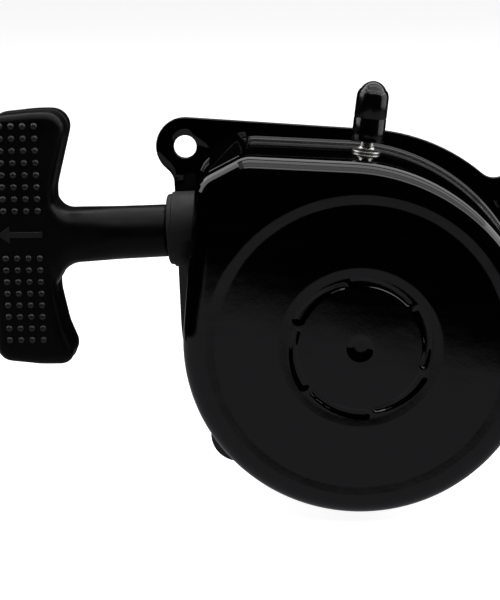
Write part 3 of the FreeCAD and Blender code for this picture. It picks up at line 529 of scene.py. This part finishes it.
def front_relief(angles, radius):
    """How far the front is pressed in, at a radius, for each angle."""
    depth = np.zeros_like(angles)
    for outer, inner, deep in (RECESS, CENTRE):
        depth = depth + deep * ramp(outer - radius, outer - inner, STEP_SOFT)
    depth = depth + DIMPLE_DEPTH * (1 - ease(DIMPLE_FLOOR, DIMPLE_RIM, radius))
    for dent in range(DENTS):
        start = DENT_START + dent * FULL_TURN / DENTS
        turn = (angles - start) % FULL_TURN
        turn = np.where(turn > math.pi + DENT_SPAN / 2, turn - FULL_TURN, turn)
        share = np.clip(turn / DENT_SPAN, 0, 1)
        inner = DENT_INNER + DENT_INNER_DRIFT * share
        outer = DENT_OUTER + DENT_OUTER_DRIFT * share
        middle = (inner + outer) / 2
        half = (outer - inner) / 2
        length = DENT_SPAN * middle
        along = turn * middle
        beyond = np.maximum(np.maximum(half - along, along - (length - half)), 0)
        away = np.sqrt(beyond ** 2 + (radius - middle) ** 2) / half
        depth = depth + DENT_DEPTH * (1 - ease(DENT_FLOOR, 1.0, away))
    return depth


def ring_rows(angles, place, normal, rows):
    """Rows of points at (offset along the wall's normal, place along Y)."""
    made = []
    for offset, level in rows:
        flat = place + normal * offset
        made.append(np.stack([flat[:, 0], np.full(len(angles), level), flat[:, 1]], 1))
    return made


def pressed_sheet(angles, place, normal, inset, radii, steps):
    """One face of the pressed case: wall, rounded front edge and the front's relief."""
    front = -CASE_DEPTH + inset
    bend = FRONT_ROUND - inset
    corner = -CASE_DEPTH + FRONT_ROUND
    pressed = pocketed(angles, place, POCKET_RADIUS + inset)
    rows = []
    if inset == 0:
        flare = [(FLANGE_FLARE + FLARE_TUCK, -FLANGE_THICK + FLARE_OVERLAP)]
        for turn in np.linspace(0, math.pi / 2, 14):
            flare.append((FLANGE_FLARE * (1 - math.sin(turn)),
                          -FLANGE_THICK - FLANGE_FLARE * (1 - math.cos(turn))))
        rows += ring_rows(angles, pressed, normal, flare)
        wall_start = -FLANGE_THICK - FLANGE_FLARE
    else:
        rows += ring_rows(angles, pressed, normal, [(-inset, -FLANGE_THICK / 2)])
        wall_start = -FLANGE_THICK - 1.0
    shelf = -POCKET_END - inset
    shelf_near, shelf_far = shelf + SHELF_HALF, shelf - SHELF_HALF
    levels = np.concatenate([
        np.linspace(wall_start, shelf_near, 7)[1:],
        np.linspace(shelf_near, shelf_far, 8)[1:],
        np.linspace(shelf_far, corner, 4)[1:],
    ])
    for level in levels:
        share = float(ease(shelf_far, shelf_near, level))
        rows += ring_rows(angles, pressed * share + place * (1 - share), normal,
                          [(-inset, level)])
    for turn in np.linspace(math.pi / 2, 0, steps)[1:]:
        rows += ring_rows(angles, place, normal, [
            (-FRONT_ROUND + bend * math.sin(turn), corner - bend * math.cos(turn))])
    edge = place - normal * FRONT_ROUND
    rim = radii[0]
    spokes = edge / np.linalg.norm(edge, axis=1, keepdims=True)
    turns = np.arctan2(spokes[:, 1], spokes[:, 0])
    for share in (0.2, 0.45, 0.72):
        flat = edge * (1 - share) + spokes * rim * share
        rows.append(np.stack([flat[:, 0], np.full(len(angles), front), flat[:, 1]], 1))
    for radius in radii:
        level = front + front_relief(turns, radius)
        if inset:
            level = level + INNER_DROP * ramp(RECESS[0] - radius, INNER_DROP_WIDTH, STEP_SOFT)
        rows.append(np.stack([spokes[:, 0] * radius, level, spokes[:, 1] * radius], 1))
    return rows


def build_case_skin(skin):
    """The pressed shell as one closed sheet, from the flange round the front and back."""
    angles, place, normal = case_outline(OUTLINE_COLUMNS)
    fine = np.concatenate([
        np.arange(59.6, 53.6, -0.35), np.arange(53.2, 32.5, -3.0),
        np.arange(32.0, 22.4, -0.28), np.arange(21.8, 6.4, -2.2),
        np.arange(5.8, 1.9, -0.3), [1.2, 0.5],
    ])
    coarse = np.concatenate([
        np.arange(59.6, 53.6, -1.0), np.arange(50.0, 33.0, -6.0),
        np.arange(31.6, 22.4, -0.75), np.arange(20.0, 7.0, -6.0),
        np.arange(5.6, 1.9, -0.8), [0.5],
    ])
    outer = pressed_sheet(angles, place, normal, 0.0, fine, 18)
    inner = pressed_sheet(angles, place, normal, SHEET, coarse, 8)
    skin.rows(outer, flip=True, cap_end=True)
    skin.rows(inner, cap_end=True)
    skin.rows([outer[0], inner[0]])


def plane_loops(node, level):
    """Triangles of a CAD node that lie across Y at a level, and their edge loops."""
    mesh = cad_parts[node].data
    mesh.calc_loop_triangles()
    points = np.array([v.co for v in mesh.vertices]) / MM
    key = {}
    flat = []
    triangles = []
    for triangle in mesh.loop_triangles:
        corners = [points[i] for i in triangle.vertices]
        if all(abs(p[1] - level) < 1e-3 for p in corners):
            found = []
            for p in corners:
                name = (round(p[0], 3), round(p[2], 3))
                if name not in key:
                    key[name] = len(flat)
                    flat.append(name)
                found.append(key[name])
            if len(set(found)) == 3:
                triangles.append(found)
    flat = np.array(flat)
    edges = {(t[k], t[(k + 1) % 3]) for t in triangles for k in range(3)}
    following = {a: b for a, b in edges if (b, a) not in edges}
    loops = []
    while following:
        start, step = following.popitem()
        loop = [start]
        while step != start:
            loop.append(step)
            step = following.pop(step)
        loops.append(loop)
    return flat, triangles, loops


def build_flange(skin):
    """The flange plate: the CAD outline with its rim and holes rounded off."""
    flat, triangles, loops = plane_loops("case", 0.0)
    inwards = np.zeros_like(flat)
    for loop in loops:
        around = flat[loop]
        heading = np.roll(around, -1, 0) - np.roll(around, 1, 0)
        heading /= np.maximum(np.linalg.norm(heading, axis=1, keepdims=True), 1e-9)
        inwards[loop] = np.stack([-heading[:, 1], heading[:, 0]], 1)
    sample = np.array(triangles[0])
    a, b, c = flat[sample]
    winding = np.sign((b - a)[0] * (c - a)[1] - (b - a)[1] * (c - a)[0])
    inwards *= winding

    def layer(inset, level):
        moved = flat + inwards * inset
        return skin.add(np.stack([moved[:, 0], np.full(len(flat), level), moved[:, 1]], 1))

    middle = FLANGE_ROUND_OFF * (1 - math.sqrt(0.5))
    layers = [
        layer(FLANGE_ROUND_OFF, 0.0), layer(middle, -middle), layer(0.0, -FLANGE_ROUND_OFF),
        layer(0.0, -FLANGE_THICK + FLANGE_ROUND_OFF), layer(middle, -FLANGE_THICK + middle),
        layer(FLANGE_ROUND_OFF, -FLANGE_THICK),
    ]
    for triangle in triangles:
        skin.faces.append([layers[0] + i for i in triangle])
        skin.faces.append([layers[-1] + i for i in triangle[::-1]])
    for loop in loops:
        for i, j in zip(loop, loop[1:] + loop[:1]):
            for near, far in zip(layers, layers[1:]):
                skin.faces.append([near + j, near + i, far + i, far + j])


def beveled(corners, faces, width, segments):
    """Points and faces of a solid with its edges rounded."""
    solid = bmesh.new()
    verts = [solid.verts.new(c) for c in corners]
    for face in faces:
        solid.faces.new([verts[i] for i in face])
    bmesh.ops.recalc_face_normals(solid, faces=solid.faces[:])
    bmesh.ops.dissolve_limit(solid, angle_limit=math.radians(3.0), verts=solid.verts[:],
                             edges=solid.edges[:])
    bmesh.ops.bevel(solid, geom=solid.edges[:], offset=width, segments=segments,
                    profile=0.5, affect="EDGES", clamp_overlap=True)
    points = [list(v.co) for v in solid.verts]
    for index, vert in enumerate(solid.verts):
        vert.index = index
    made = [[v.index for v in face.verts] for face in solid.faces]
    solid.free()
    return points, made


def build_bulge(skin):
    """The wedge pressed out of the slanted corner, tallest at the flange and hipped."""
    run = (TOP_CORNER - LEFT_CORNER) / np.linalg.norm(TOP_CORNER - LEFT_CORNER)
    out = np.array([-run[1], run[0]])
    corners = []
    for along, height, level in (
            (5.6, 4.5, -1.0), (5.6, 4.5, -3.0), (5.0, 0.1, -40.0), (4.6, -3.0, -40.0),
            (4.6, -3.0, -1.0), (21.6, 4.7, -1.0), (17.2, 4.7, -3.4), (20.4, -0.2, -14.0),
            (18.6, 0.1, -40.0), (18.6, -4.0, -40.0), (21.4, -5.0, -1.0), (21.6, -1.0, -1.6)):
        place = LEFT_CORNER + run * along + out * height
        corners.append((place[0], level, place[1]))
    faces = [
        [0, 5, 6, 1], [1, 6, 8, 2], [6, 7, 8], [5, 11, 7, 6], [2, 8, 9, 3],
        [7, 11, 10, 9, 8], [0, 1, 2, 3, 4], [4, 3, 9, 10], [0, 4, 10, 11, 5],
    ]
    split = []
    for face in faces:
        for k in range(1, len(face) - 1):
            split.append([face[0], face[k], face[k + 1]])
    points, made = beveled(corners, split, BULGE_ROUND, 3)
    first = skin.add(points)
    skin.faces += [[first + i for i in face] for face in made]


case_skin = Skin()
build_case_skin(case_skin)
build_flange(case_skin)
build_bulge(case_skin)
make_piece("case_shell", case_skin, "case_paint", "housing", ["case"], sharp=50.0)


# ---------------------------------------------------------------- rope guide

def build_guide():
    """The rubber collar on the left wall, its foot cut to the wall's slant."""
    skin = Skin()
    steps = 120
    angles = np.arange(steps) * FULL_TURN / steps
    left = LEFT_CORNER / np.linalg.norm(LEFT_CORNER)
    reach = math.atan2(left[1], left[0])
    reach += math.acos(DRUM_RADIUS / np.linalg.norm(LEFT_CORNER))
    wall = np.array([math.cos(reach), 0.0, math.sin(reach)])
    spokes = np.outer(np.cos(angles), ROPE_ACROSS) + np.outer(np.sin(angles), ROPE_UP)

    def on_wall(radius, out):
        start = ROPE_START + spokes * radius
        travel = (DRUM_RADIUS + out - start @ wall) / (ROPE_ALONG @ wall)
        return start + np.outer(travel, ROPE_ALONG)

    def at_reach(radius, along):
        return ROPE_START + spokes * radius + ROPE_ALONG * along

    tip = GUIDE_REACH
    rows = [
        on_wall(GUIDE_BORE, -SHEET - 2.5), on_wall(12.6, -SHEET - 2.5),
        on_wall(13.2, -SHEET - 1.9), on_wall(13.2, -SHEET), on_wall(GUIDE_NECK, -SHEET),
        on_wall(GUIDE_NECK, -0.2), on_wall(14.1, -0.2), on_wall(GUIDE_RADIUS, 0.15),
        at_reach(GUIDE_RADIUS, tip - 2.6), at_reach(14.3, tip - 2.2),
        at_reach(13.75, tip - 1.9), at_reach(13.65, tip - 1.6), at_reach(13.6, tip - 0.9),
        at_reach(13.35, tip - 0.35), at_reach(12.8, tip - 0.05), at_reach(12.0, tip),
        at_reach(7.4, tip), at_reach(6.7, tip - 0.15), at_reach(GUIDE_BORE, tip - 0.6),
        at_reach(GUIDE_BORE, tip - 16.0),
    ]
    skin.rows(rows)
    last = (len(rows) - 1) * steps
    for i in range(steps):
        j = (i + 1) % steps
        skin.faces.append([last + i, last + j, j, i])
    return skin


make_piece("rope_collar", build_guide(), "guide_rubber", "housing", ["rope_guide"])


# ---------------------------------------------------------------- vent cap

VENT_LEAN = math.radians(6.0)
VENT_UP = np.array([math.sin(VENT_LEAN), 0.0, math.cos(VENT_LEAN)])
VENT_SIDE = 1.8
VENT_LEVEL = -20.0


def vent_foot():
    """Where the vent tube stands on the case's top arc."""
    shift = DRUM_RADIUS - TOP_ARC_RADIUS
    sideways = VENT_SIDE - math.cos(TOP_ARC_JOIN) * shift
    rise = math.sqrt(TOP_ARC_RADIUS ** 2 - sideways ** 2)
    return np.array([VENT_SIDE, VENT_LEVEL, math.sin(TOP_ARC_JOIN) * shift + rise])


VENT_FOOT = vent_foot()
CAP_FOOT = 4.3
CAP_TOP = 27.2

cap_skin = Skin()
lathe(cap_skin, [
    (2.8, CAP_FOOT + 13.6), (2.8, CAP_FOOT + 0.4), (3.1, CAP_FOOT + 0.05),
    (5.5, CAP_FOOT), (6.0, CAP_FOOT + 0.2), (6.2, CAP_FOOT + 0.7),
    (6.25, CAP_FOOT + 3.5), (6.2, CAP_FOOT + 8.6), (6.08, CAP_FOOT + 8.9),
    (6.08, CAP_FOOT + 9.2), (6.18, CAP_FOOT + 9.5), (6.15, CAP_TOP - 8.0),
    (6.1, CAP_TOP - 5.8), (5.95, CAP_TOP - 4.9), (5.7, CAP_TOP - 4.2),
    (5.3, CAP_TOP - 3.55), (4.95, CAP_TOP - 3.2), (4.72, CAP_TOP - 3.0),
    (4.6, CAP_TOP - 2.75), (4.3, CAP_TOP - 2.3), (3.7, CAP_TOP - 1.6),
    (2.9, CAP_TOP - 0.95), (2.0, CAP_TOP - 0.45), (1.1, CAP_TOP - 0.14),
    (0.4, CAP_TOP - 0.02),
], VENT_FOOT, VENT_UP, ROPE_ACROSS, steps=72)
make_piece("vent_cap_skin", cap_skin, "cap_vinyl", "vent_cap_body", ["vent_cap"])

collar_skin = Skin()
lathe(collar_skin, [
    (2.85, 2.3), (2.85, -0.2), (5.0, -0.2), (5.3, -0.1), (5.42, 0.15), (5.42, 0.45),
    (5.3, 0.7), (4.9, 0.85), (4.2, 1.0), (3.6, 1.3), (3.25, 1.7), (3.12, 2.2), (2.85, 2.3),
], VENT_FOOT, VENT_UP, ROPE_ACROSS, steps=72)
make_piece("vent_flare", collar_skin, "zinc_steel", "housing", ["vent_collar"])


# ---------------------------------------------------------------- T-handle

def rounded_outline(corners):
    """A closed outline through corners (x, y, radius), each rounded by its radius."""
    made = []
    count = len(corners)
    for index in range(count):
        before = np.array(corners[index - 1][:2], float)
        here = np.array(corners[index][:2], float)
        after = np.array(corners[(index + 1) % count][:2], float)
        radius = corners[index][2]
        into = (before - here) / np.linalg.norm(before - here)
        away = (after - here) / np.linalg.norm(after - here)
        half = math.acos(max(-1.0, min(1.0, float(into @ away)))) / 2
        back = radius / math.tan(half)
        centre_way = (into + away) / np.linalg.norm(into + away)
        centre = here + centre_way * radius / math.sin(half)
        start = here + into * back - centre
        end = here + away * back - centre
        first = math.atan2(start[1], start[0])
        turn = math.atan2(end[1], end[0]) - first
        turn = (turn + math.pi) % FULL_TURN - math.pi
        steps = max(2, int(abs(turn) * radius / 0.8) + 1)
        for share in np.linspace(0, 1, steps):
            angle = first + turn * share
            made.append(centre + radius * np.array([math.cos(angle), math.sin(angle)]))
    return np.array(made)


BAR_BEVEL = 3.4
STUD_COLUMNS = 4
STUD_ROWS = 8
STUD_START = (-9.3, 9.2)
STUD_PITCH = (4.35, 4.6)
STUD_RADIUS = 1.35
STUD_HEIGHT = 1.0
PATTERN_LIFT = 2.2
GRIP_TURN = math.radians(2.15)
STEM_TIP = GRIP_REACH - GUIDE_REACH - 0.1
STEM_DROP = -0.4
STEM_RADIUS = 10.45
STEM_TAPER = 0.35
STEM_SIDES = 72
NECK_START = 9.3
NECK_WIDEST = 9.7
NECK_BLENDS = (6.8, 9.0)
NECK_END = 17.5
BAR = [
    (-14.9, 46.9, 6.0), (3.0, 48.7, 60.0), (15.0, 48.6, 7.0), (15.0, 40.9, 5.0),
    (9.25, 19.0, 10.0), (9.1, -1.0, 3.0), (9.2, -22.0, 12.0), (11.9, -35.5, 18.0),
    (14.9, -43.2, 5.0), (15.1, -49.6, 5.0), (2.0, -49.7, 40.0), (-15.0, -47.9, 6.0),
]


def grip_points(flat, across, turn=GRIP_TURN):
    """Grip coordinates, towards the case and up, to places in the frame."""
    flat = np.asarray(flat, float)
    cosine, sine = math.cos(turn), math.sin(turn)
    ahead = flat[:, 0] * cosine + flat[:, 1] * sine
    up = flat[:, 1] * cosine - flat[:, 0] * sine
    across = np.broadcast_to(across, len(flat))
    return (ROPE_START + np.outer(GRIP_REACH - ahead, ROPE_ALONG)
            + np.outer(up, ROPE_UP) + np.outer(across, ROPE_ACROSS))


def plate_rows(outline, levels):
    """A solid of an outline, one row for each (inset, place across)."""
    around = np.roll(outline, -1, 0) - np.roll(outline, 1, 0)
    around /= np.linalg.norm(around, axis=1, keepdims=True)
    area = np.sum(outline[:, 0] * np.roll(outline[:, 1], -1)
                  - outline[:, 1] * np.roll(outline[:, 0], -1))
    inwards = np.stack([-around[:, 1], around[:, 0]], 1) * np.sign(area)
    return [grip_points(outline + inwards * inset, across) for inset, across in levels]


def add_flat_end(skin, row_start, outline, flip):
    """Closes a row of an outline with flat triangles."""
    loop = [Vector((x, y, 0)) for x, y in outline]
    for tri in tessellate_polygon([loop]):
        face = [row_start + i for i in tri]
        skin.faces.append(face[::-1] if flip else face)


def add_plate(skin, outline, levels):
    """Adds a closed plate of an outline, from one face to the other."""
    rows = plate_rows(outline, levels)
    first = len(skin.points)
    skin.rows(rows)
    add_flat_end(skin, first, outline, False)
    add_flat_end(skin, first + (len(rows) - 1) * len(outline), outline, True)


def stem_section(along):
    """Height above and below the axis, half thickness and squareness of the stem."""
    share = max(0.0, (along - NECK_END) / (STEM_TIP - NECK_END))
    radius = STEM_RADIUS - STEM_TAPER * share
    square = 2.0 + 0.9 * (1 - float(ease(0.0, 0.5, share)))
    lifts = []
    for blend in NECK_BLENDS:
        back = min(blend, max(0.0, NECK_START + blend - along))
        lifts.append(blend - math.sqrt(blend ** 2 - back ** 2))
    return radius + lifts[0], radius + lifts[1], radius, square + 0.3 * max(lifts)


def build_grip_blank():
    """The bar and the stem as overlapping solids, to be merged by a voxel remesh."""
    skin = Skin()
    outline = rounded_outline(BAR)
    levels = []
    for turn in np.linspace(0, math.pi / 2, 7):
        inset = BAR_BEVEL * (1 - math.sin(turn))
        levels.append((inset, -GRIP_HALF_THICK + BAR_BEVEL * (1 - math.cos(turn))))
    levels += [(inset, -across) for inset, across in reversed(levels)]
    add_plate(skin, outline, levels)
    rows = []
    turns = np.arange(STEM_SIDES) * FULL_TURN / STEM_SIDES
    cosine, sine = np.cos(turns), np.sin(turns)
    for along in np.concatenate([np.linspace(4.0, 9.4, 4), np.linspace(10.0, 20.0, 18),
                                 np.linspace(22.0, STEM_TIP, 8)]):
        above, below, thick, square = stem_section(max(along, NECK_WIDEST))
        shape = (np.abs(cosine) ** square + np.abs(sine) ** square) ** (-1 / square)
        high = np.where(sine > 0, above, below)
        flat = np.stack([np.full(STEM_SIDES, along), shape * sine * high + STEM_DROP], 1)
        rows.append(grip_points(flat, shape * cosine * thick, turn=0.0))
    skin.rows(rows, cap_start=True, cap_end=True)
    return skin


def remeshed(skin, voxel, smoothing):
    """The merged outer skin of overlapping solids, in millimetres."""
    mesh = bpy.data.meshes.new("blank")
    mesh.from_pydata((np.array(skin.points) * MM).tolist(), [], skin.faces)
    blank = bpy.data.objects.new("blank", mesh)
    bpy.context.scene.collection.objects.link(blank)
    solid = bmesh.new()
    solid.from_mesh(mesh)
    bmesh.ops.recalc_face_normals(solid, faces=solid.faces[:])
    solid.to_mesh(mesh)
    solid.free()
    merge = blank.modifiers.new("merge", "REMESH")
    merge.mode = "VOXEL"
    merge.voxel_size = voxel * MM
    soften = blank.modifiers.new("soften", "SMOOTH")
    soften.factor = 0.5
    soften.iterations = smoothing
    made = blank.evaluated_get(bpy.context.evaluated_depsgraph_get()).to_mesh()
    points = np.array([v.co for v in made.vertices]) / MM
    faces = [list(p.vertices) for p in made.polygons]
    bpy.data.objects.remove(blank)
    return points, faces


def dome(skin, centre, normal, radius, height):
    """A low round bump that stands on a surface."""
    profile = [(radius * 1.12, -0.25), (radius * 1.05, 0.0), (radius * 0.93, height * 0.38),
               (radius * 0.74, height * 0.68), (radius * 0.46, height * 0.91),
               (radius * 0.16, height)]
    lathe(skin, profile, centre, normal, ROPE_UP, steps=14)


def build_grip():
    """The bar with its stem, and rows of studs on both faces."""
    skin = Skin()
    points, faces = remeshed(build_grip_blank(), 0.75, 5)
    first = skin.add(points)
    skin.faces += [[first + i for i in face] for face in faces]
    face_level = GRIP_HALF_THICK - 0.05
    for side, column, row, up in itertools.product(
            (-1, 1), range(STUD_COLUMNS), range(STUD_ROWS), (1, -1)):
        ahead = STUD_START[0] + STUD_PITCH[0] * column
        away = STUD_START[1] + STUD_PITCH[1] * row
        centre = grip_points([(ahead, PATTERN_LIFT + up * away)], side * face_level)[0]
        dome(skin, centre, ROPE_ACROSS * side, STUD_RADIUS, STUD_HEIGHT)
    return skin


def build_arrow(skin):
    """A plain raised arrow that points the way the handle is pulled."""
    outline = np.array([
        (-12.2, 0.0), (-7.4, 3.4), (-7.4, 1.2), (5.2, 1.2),
        (5.2, -1.2), (-7.4, -1.2), (-7.4, -3.4),
    ])
    low, high = -GRIP_HALF_THICK + 0.4, -GRIP_HALF_THICK - 0.4
    outline = outline + (0.0, PATTERN_LIFT)
    add_plate(skin, outline, [(0.15, high), (0.0, high + 0.15), (0.0, low)])


def build_parting_line(skin):
    """The thin moulding seam round the bar's sides."""
    outline = rounded_outline(BAR)
    add_plate(skin, outline, [(0.12, -0.5), (-0.2, -0.25), (-0.2, 0.25), (0.12, 0.5)])


grip_skin = build_grip()
build_arrow(grip_skin)
build_parting_line(grip_skin)
make_piece("grip_skin", grip_skin, "grip_rubber", "handle_body", ["handle_grip"], sharp=60.0)


# ---------------------------------------------------------------- rope

def tube(skin, path, radius, sides):
    """A round tube along a path of points."""
    path = np.asarray(path, float)
    heading = np.gradient(path, axis=0)
    heading /= np.linalg.norm(heading, axis=1, keepdims=True)
    side = np.cross(heading[0], ROPE_ACROSS + 0.01)
    rows = []
    turns = np.arange(sides) * FULL_TURN / sides
    for place, ahead in zip(path, heading):
        side = side - ahead * (side @ ahead)
        side /= np.linalg.norm(side)
        other = np.cross(ahead, side)
        spokes = np.outer(np.cos(turns), side) + np.outer(np.sin(turns), other)
        rows.append(place + spokes * radius)
    skin.rows(rows, flip=True, cap_start=True, cap_end=True)


COIL_LAYERS = (33.95, 38.95, 43.8)
COIL_COLUMNS = (-2.82, 2.82)
COIL_PHASE = math.radians(72.0)
STEPS_PER_TURN = 96
CROSSING_START = 0.86
COILED_RADIUS = 2.7
LEAD_SPAN = (12.2, 128.6)


def coil_path():
    """The wound rope: turns side by side on the reel, layer on layer."""
    inner, middle, outer = COIL_LAYERS
    near, far = COIL_COLUMNS
    turns = [(inner, near), (inner, far), (middle, far), (middle, near),
             (outer, near), (outer, far)]
    path = []
    for step in range(len(turns) * STEPS_PER_TURN + 1):
        turn = min(step // STEPS_PER_TURN, len(turns) - 1)
        share = step / STEPS_PER_TURN - turn
        radius, level = turns[turn]
        if turn + 1 < len(turns):
            next_radius, next_level = turns[turn + 1]
            blend = float(ease(CROSSING_START, 1.0, share))
            radius += (next_radius - radius) * blend
            level += (next_level - level) * blend
        angle = -FULL_TURN * step / STEPS_PER_TURN + COIL_PHASE
        path.append((radius * math.cos(angle), ROPE_LEVEL + level, radius * math.sin(angle)))
    return path


coil_skin = Skin()
tube(coil_skin, coil_path(), COILED_RADIUS, 12)
coil = make_piece("rope_turns", coil_skin, "rope", "reel_body", ["rope_coil"])
set_material(coil, COILED_CORD)

lead_skin = Skin()
tube(lead_skin, [rope_point(along) for along in np.linspace(*LEAD_SPAN, 240)], ROPE_RADIUS, 24)
lead = make_piece("rope_run", lead_skin, "rope", None, ["rope_lead"])
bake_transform(lead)


# ---------------------------------------------------------------- finishes of the CAD nodes

FINISHES = {
    "zinc_steel": ["guide_ferrule", "vent_tube", "vent_collar", "reel_nut",
                   "handle_washer", "friction_washer"],
    "bare_steel": ["pivot_post", "spring_plate", "thrust_washer", "friction_plate",
                   "pawl_upper", "pawl_lower", "pawl_pins"],
    "bronze": ["reel_bush"],
    "reel_nylon": ["reel"],
    "spring_steel": ["recoil_spring", "friction_spring", "pawl_springs"],
    "grip_rubber": ["handle_plug"],
}
for slot, nodes in FINISHES.items():
    for node in nodes:
        set_material(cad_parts[node], MATERIALS[slot])
for node in ("reel_knot", "handle_knot"):
    set_material(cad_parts[node], COILED_CORD)


# ---------------------------------------------------------------- studio

def emission(name, strength):
    material = bpy.data.materials.new(name)
    material.use_nodes = True
    tree = material.node_tree
    tree.nodes.clear()
    output = tree.nodes.new("ShaderNodeOutputMaterial")
    glow = tree.nodes.new("ShaderNodeEmission")
    glow.inputs["Strength"].default_value = strength
    tree.links.new(glow.outputs["Emission"], output.inputs["Surface"])
    return material


def stage_mesh(name, points, faces, material):
    """A mesh of the studio, in metres, that isn't part of the object."""
    mesh = bpy.data.meshes.new(name)
    mesh.from_pydata(points, [], faces)
    mesh.materials.append(material)
    thing = bpy.data.objects.new(name, mesh)
    bpy.context.scene.collection.objects.link(thing)
    return thing


BACKDROP_RADIUS = 9.0
FLOOR_HALF = 6.0
FLOOR_GAP = 0.15 * MM


def build_backdrop():
    """A white studio shell far round the object, which only the camera sees."""
    ball = bmesh.new()
    bmesh.ops.create_uvsphere(ball, u_segments=48, v_segments=24, radius=BACKDROP_RADIUS)
    points = [list(v.co) for v in ball.verts]
    for index, vert in enumerate(ball.verts):
        vert.index = index
    faces = [[v.index for v in face.verts] for face in ball.faces]
    ball.free()
    shell = stage_mesh("backdrop", points, faces, emission("backdrop_white", 1.0))
    shell.visible_diffuse = False
    shell.visible_glossy = False
    shell.visible_transmission = False
    shell.visible_shadow = False


def build_floor():
    """A pale floor just below the object, kept out of its shine."""
    material, tree, shader = new_material("pale_floor")
    shader.inputs["Roughness"].default_value = 0.9
    shader.inputs["Base Color"].default_value = (0.5, 0.5, 0.5, 1.0)
    shader.inputs["Specular IOR Level"].default_value = 0.0
    shader.inputs["Emission Color"].default_value = (1.0, 1.0, 1.0, 1.0)
    shader.inputs["Emission Strength"].default_value = 0.92
    level = CAD_BOX[0].z - FLOOR_GAP
    corners = [(x * FLOOR_HALF, y * FLOOR_HALF, level)
               for x, y in ((-1, -1), (1, -1), (1, 1), (-1, 1))]
    floor = stage_mesh("floor", corners, [[0, 1, 2, 3]], material)
    floor.visible_glossy = False
    floor.visible_diffuse = False
    floor.visible_shadow = False


HORIZON = (-0.262, -0.235)
HORIZON_LEAN = 0.22
LEAN_SPAN = (-0.16, 0.30)
GLOW_BELOW = 0.29
GLOW_ABOVE = 0.003


def build_world():
    """Dark studio: a dim glow below a leaning horizon and next to nothing above it."""
    world = bpy.data.worlds.new("studio")
    bpy.context.scene.world = world
    world.use_nodes = True
    tree = world.node_tree
    tree.nodes.clear()
    output = tree.nodes.new("ShaderNodeOutputWorld")
    background = tree.nodes.new("ShaderNodeBackground")
    place = tree.nodes.new("ShaderNodeTexCoord")
    parts = tree.nodes.new("ShaderNodeSeparateXYZ")
    tree.links.new(place.outputs["Generated"], parts.inputs["Vector"])
    sideways = tree.nodes.new("ShaderNodeClamp")
    sideways.inputs["Min"].default_value, sideways.inputs["Max"].default_value = LEAN_SPAN
    tree.links.new(parts.outputs["X"], sideways.inputs["Value"])
    lean = tree.nodes.new("ShaderNodeMath")
    lean.operation = "MULTIPLY_ADD"
    lean.inputs[1].default_value = HORIZON_LEAN
    tree.links.new(sideways.outputs["Result"], lean.inputs[0])
    tree.links.new(parts.outputs["Z"], lean.inputs[2])
    glow = tree.nodes.new("ShaderNodeMapRange")
    glow.interpolation_type = "SMOOTHSTEP"
    glow.inputs["From Min"].default_value, glow.inputs["From Max"].default_value = HORIZON
    glow.inputs["To Min"].default_value = GLOW_BELOW
    glow.inputs["To Max"].default_value = GLOW_ABOVE
    tree.links.new(lean.outputs[0], glow.inputs["Value"])
    background.inputs["Color"].default_value = (0.93, 0.93, 1.0, 1.0)
    tree.links.new(glow.outputs["Result"], background.inputs["Strength"])
    tree.links.new(background.outputs["Background"], output.inputs["Surface"])


def softbox(name, place, target, size, power):
    """A soft rectangular light that faces a target."""
    light = bpy.data.lights.new(name, "AREA")
    light.shape = "RECTANGLE"
    light.size, light.size_y = size
    light.energy = power
    lamp = bpy.data.objects.new(name, light)
    lamp.location = place
    aim = Vector(target) - Vector(place)
    lamp.rotation_euler = aim.to_track_quat("-Z", "Y").to_euler()
    lamp.visible_camera = False
    bpy.context.scene.collection.objects.link(lamp)


CAMERA_PLACE = (-0.01832, -0.62415, 0.15959)
CAMERA_ELEVATION = math.radians(13.8)
CAMERA_AZIMUTH = math.radians(2.3)


def build_camera():
    """A long lens a little above the object, nearly square to its front."""
    camera = bpy.data.objects.new("camera", bpy.data.cameras.new("camera"))
    camera.data.lens = 95.22
    camera.data.sensor_width = 36.0
    camera.data.clip_start = 0.02
    camera.data.clip_end = 50.0
    level = math.cos(CAMERA_ELEVATION)
    back = Vector((math.sin(CAMERA_AZIMUTH) * level, -math.cos(CAMERA_AZIMUTH) * level,
                   math.sin(CAMERA_ELEVATION)))
    camera.location = CAMERA_PLACE
    camera.rotation_mode = "QUATERNION"
    camera.rotation_quaternion = (-back).to_track_quat("-Z", "Y")
    bpy.context.scene.collection.objects.link(camera)
    bpy.context.scene.camera = camera


# Each overhead softbox: near and far edge along Y, left and right edge, and its glow.
OVERHEADS = {
    "overhead_front": (-0.96, -0.70, -0.42, 2.6, 2.1),
    "overhead_middle": (-0.66, -0.22, -0.42, 2.6, 1.2),
    "overhead_top": (-0.17, 0.18, -0.42, 2.6, 2.0),
    "overhead_end": (-0.90, 0.12, -0.68, -0.43, 0.5),
    "overhead_back": (0.31, 0.90, -1.3, 2.6, 1.9),
}
OVERHEAD_HEIGHT = 1.0
POWER_PER_GLOW = 4.0


def build_lights():
    """Strips overhead, which the gloss shows as bands, and a soft light on each side."""
    for name, (near, far, left, right, glow) in OVERHEADS.items():
        width, depth = right - left, far - near
        middle, level = (right + left) / 2, (near + far) / 2
        softbox(name, (middle, level, OVERHEAD_HEIGHT), (middle, level, 0.0), (width, depth),
                glow * POWER_PER_GLOW * width * depth)
    softbox("left", (-1.2, 0.05, 0.82), (0.0, 0.05, 0.12), (1.0, 1.25), 9.0)
    softbox("right", (1.25, 0.05, 0.27), (0.0, 0.05, 0.12), (1.2, 1.05), 5.5)


build_backdrop()
build_floor()
build_world()
build_lights()
build_camera()
bpy.context.scene.view_settings.view_transform = "Standard"
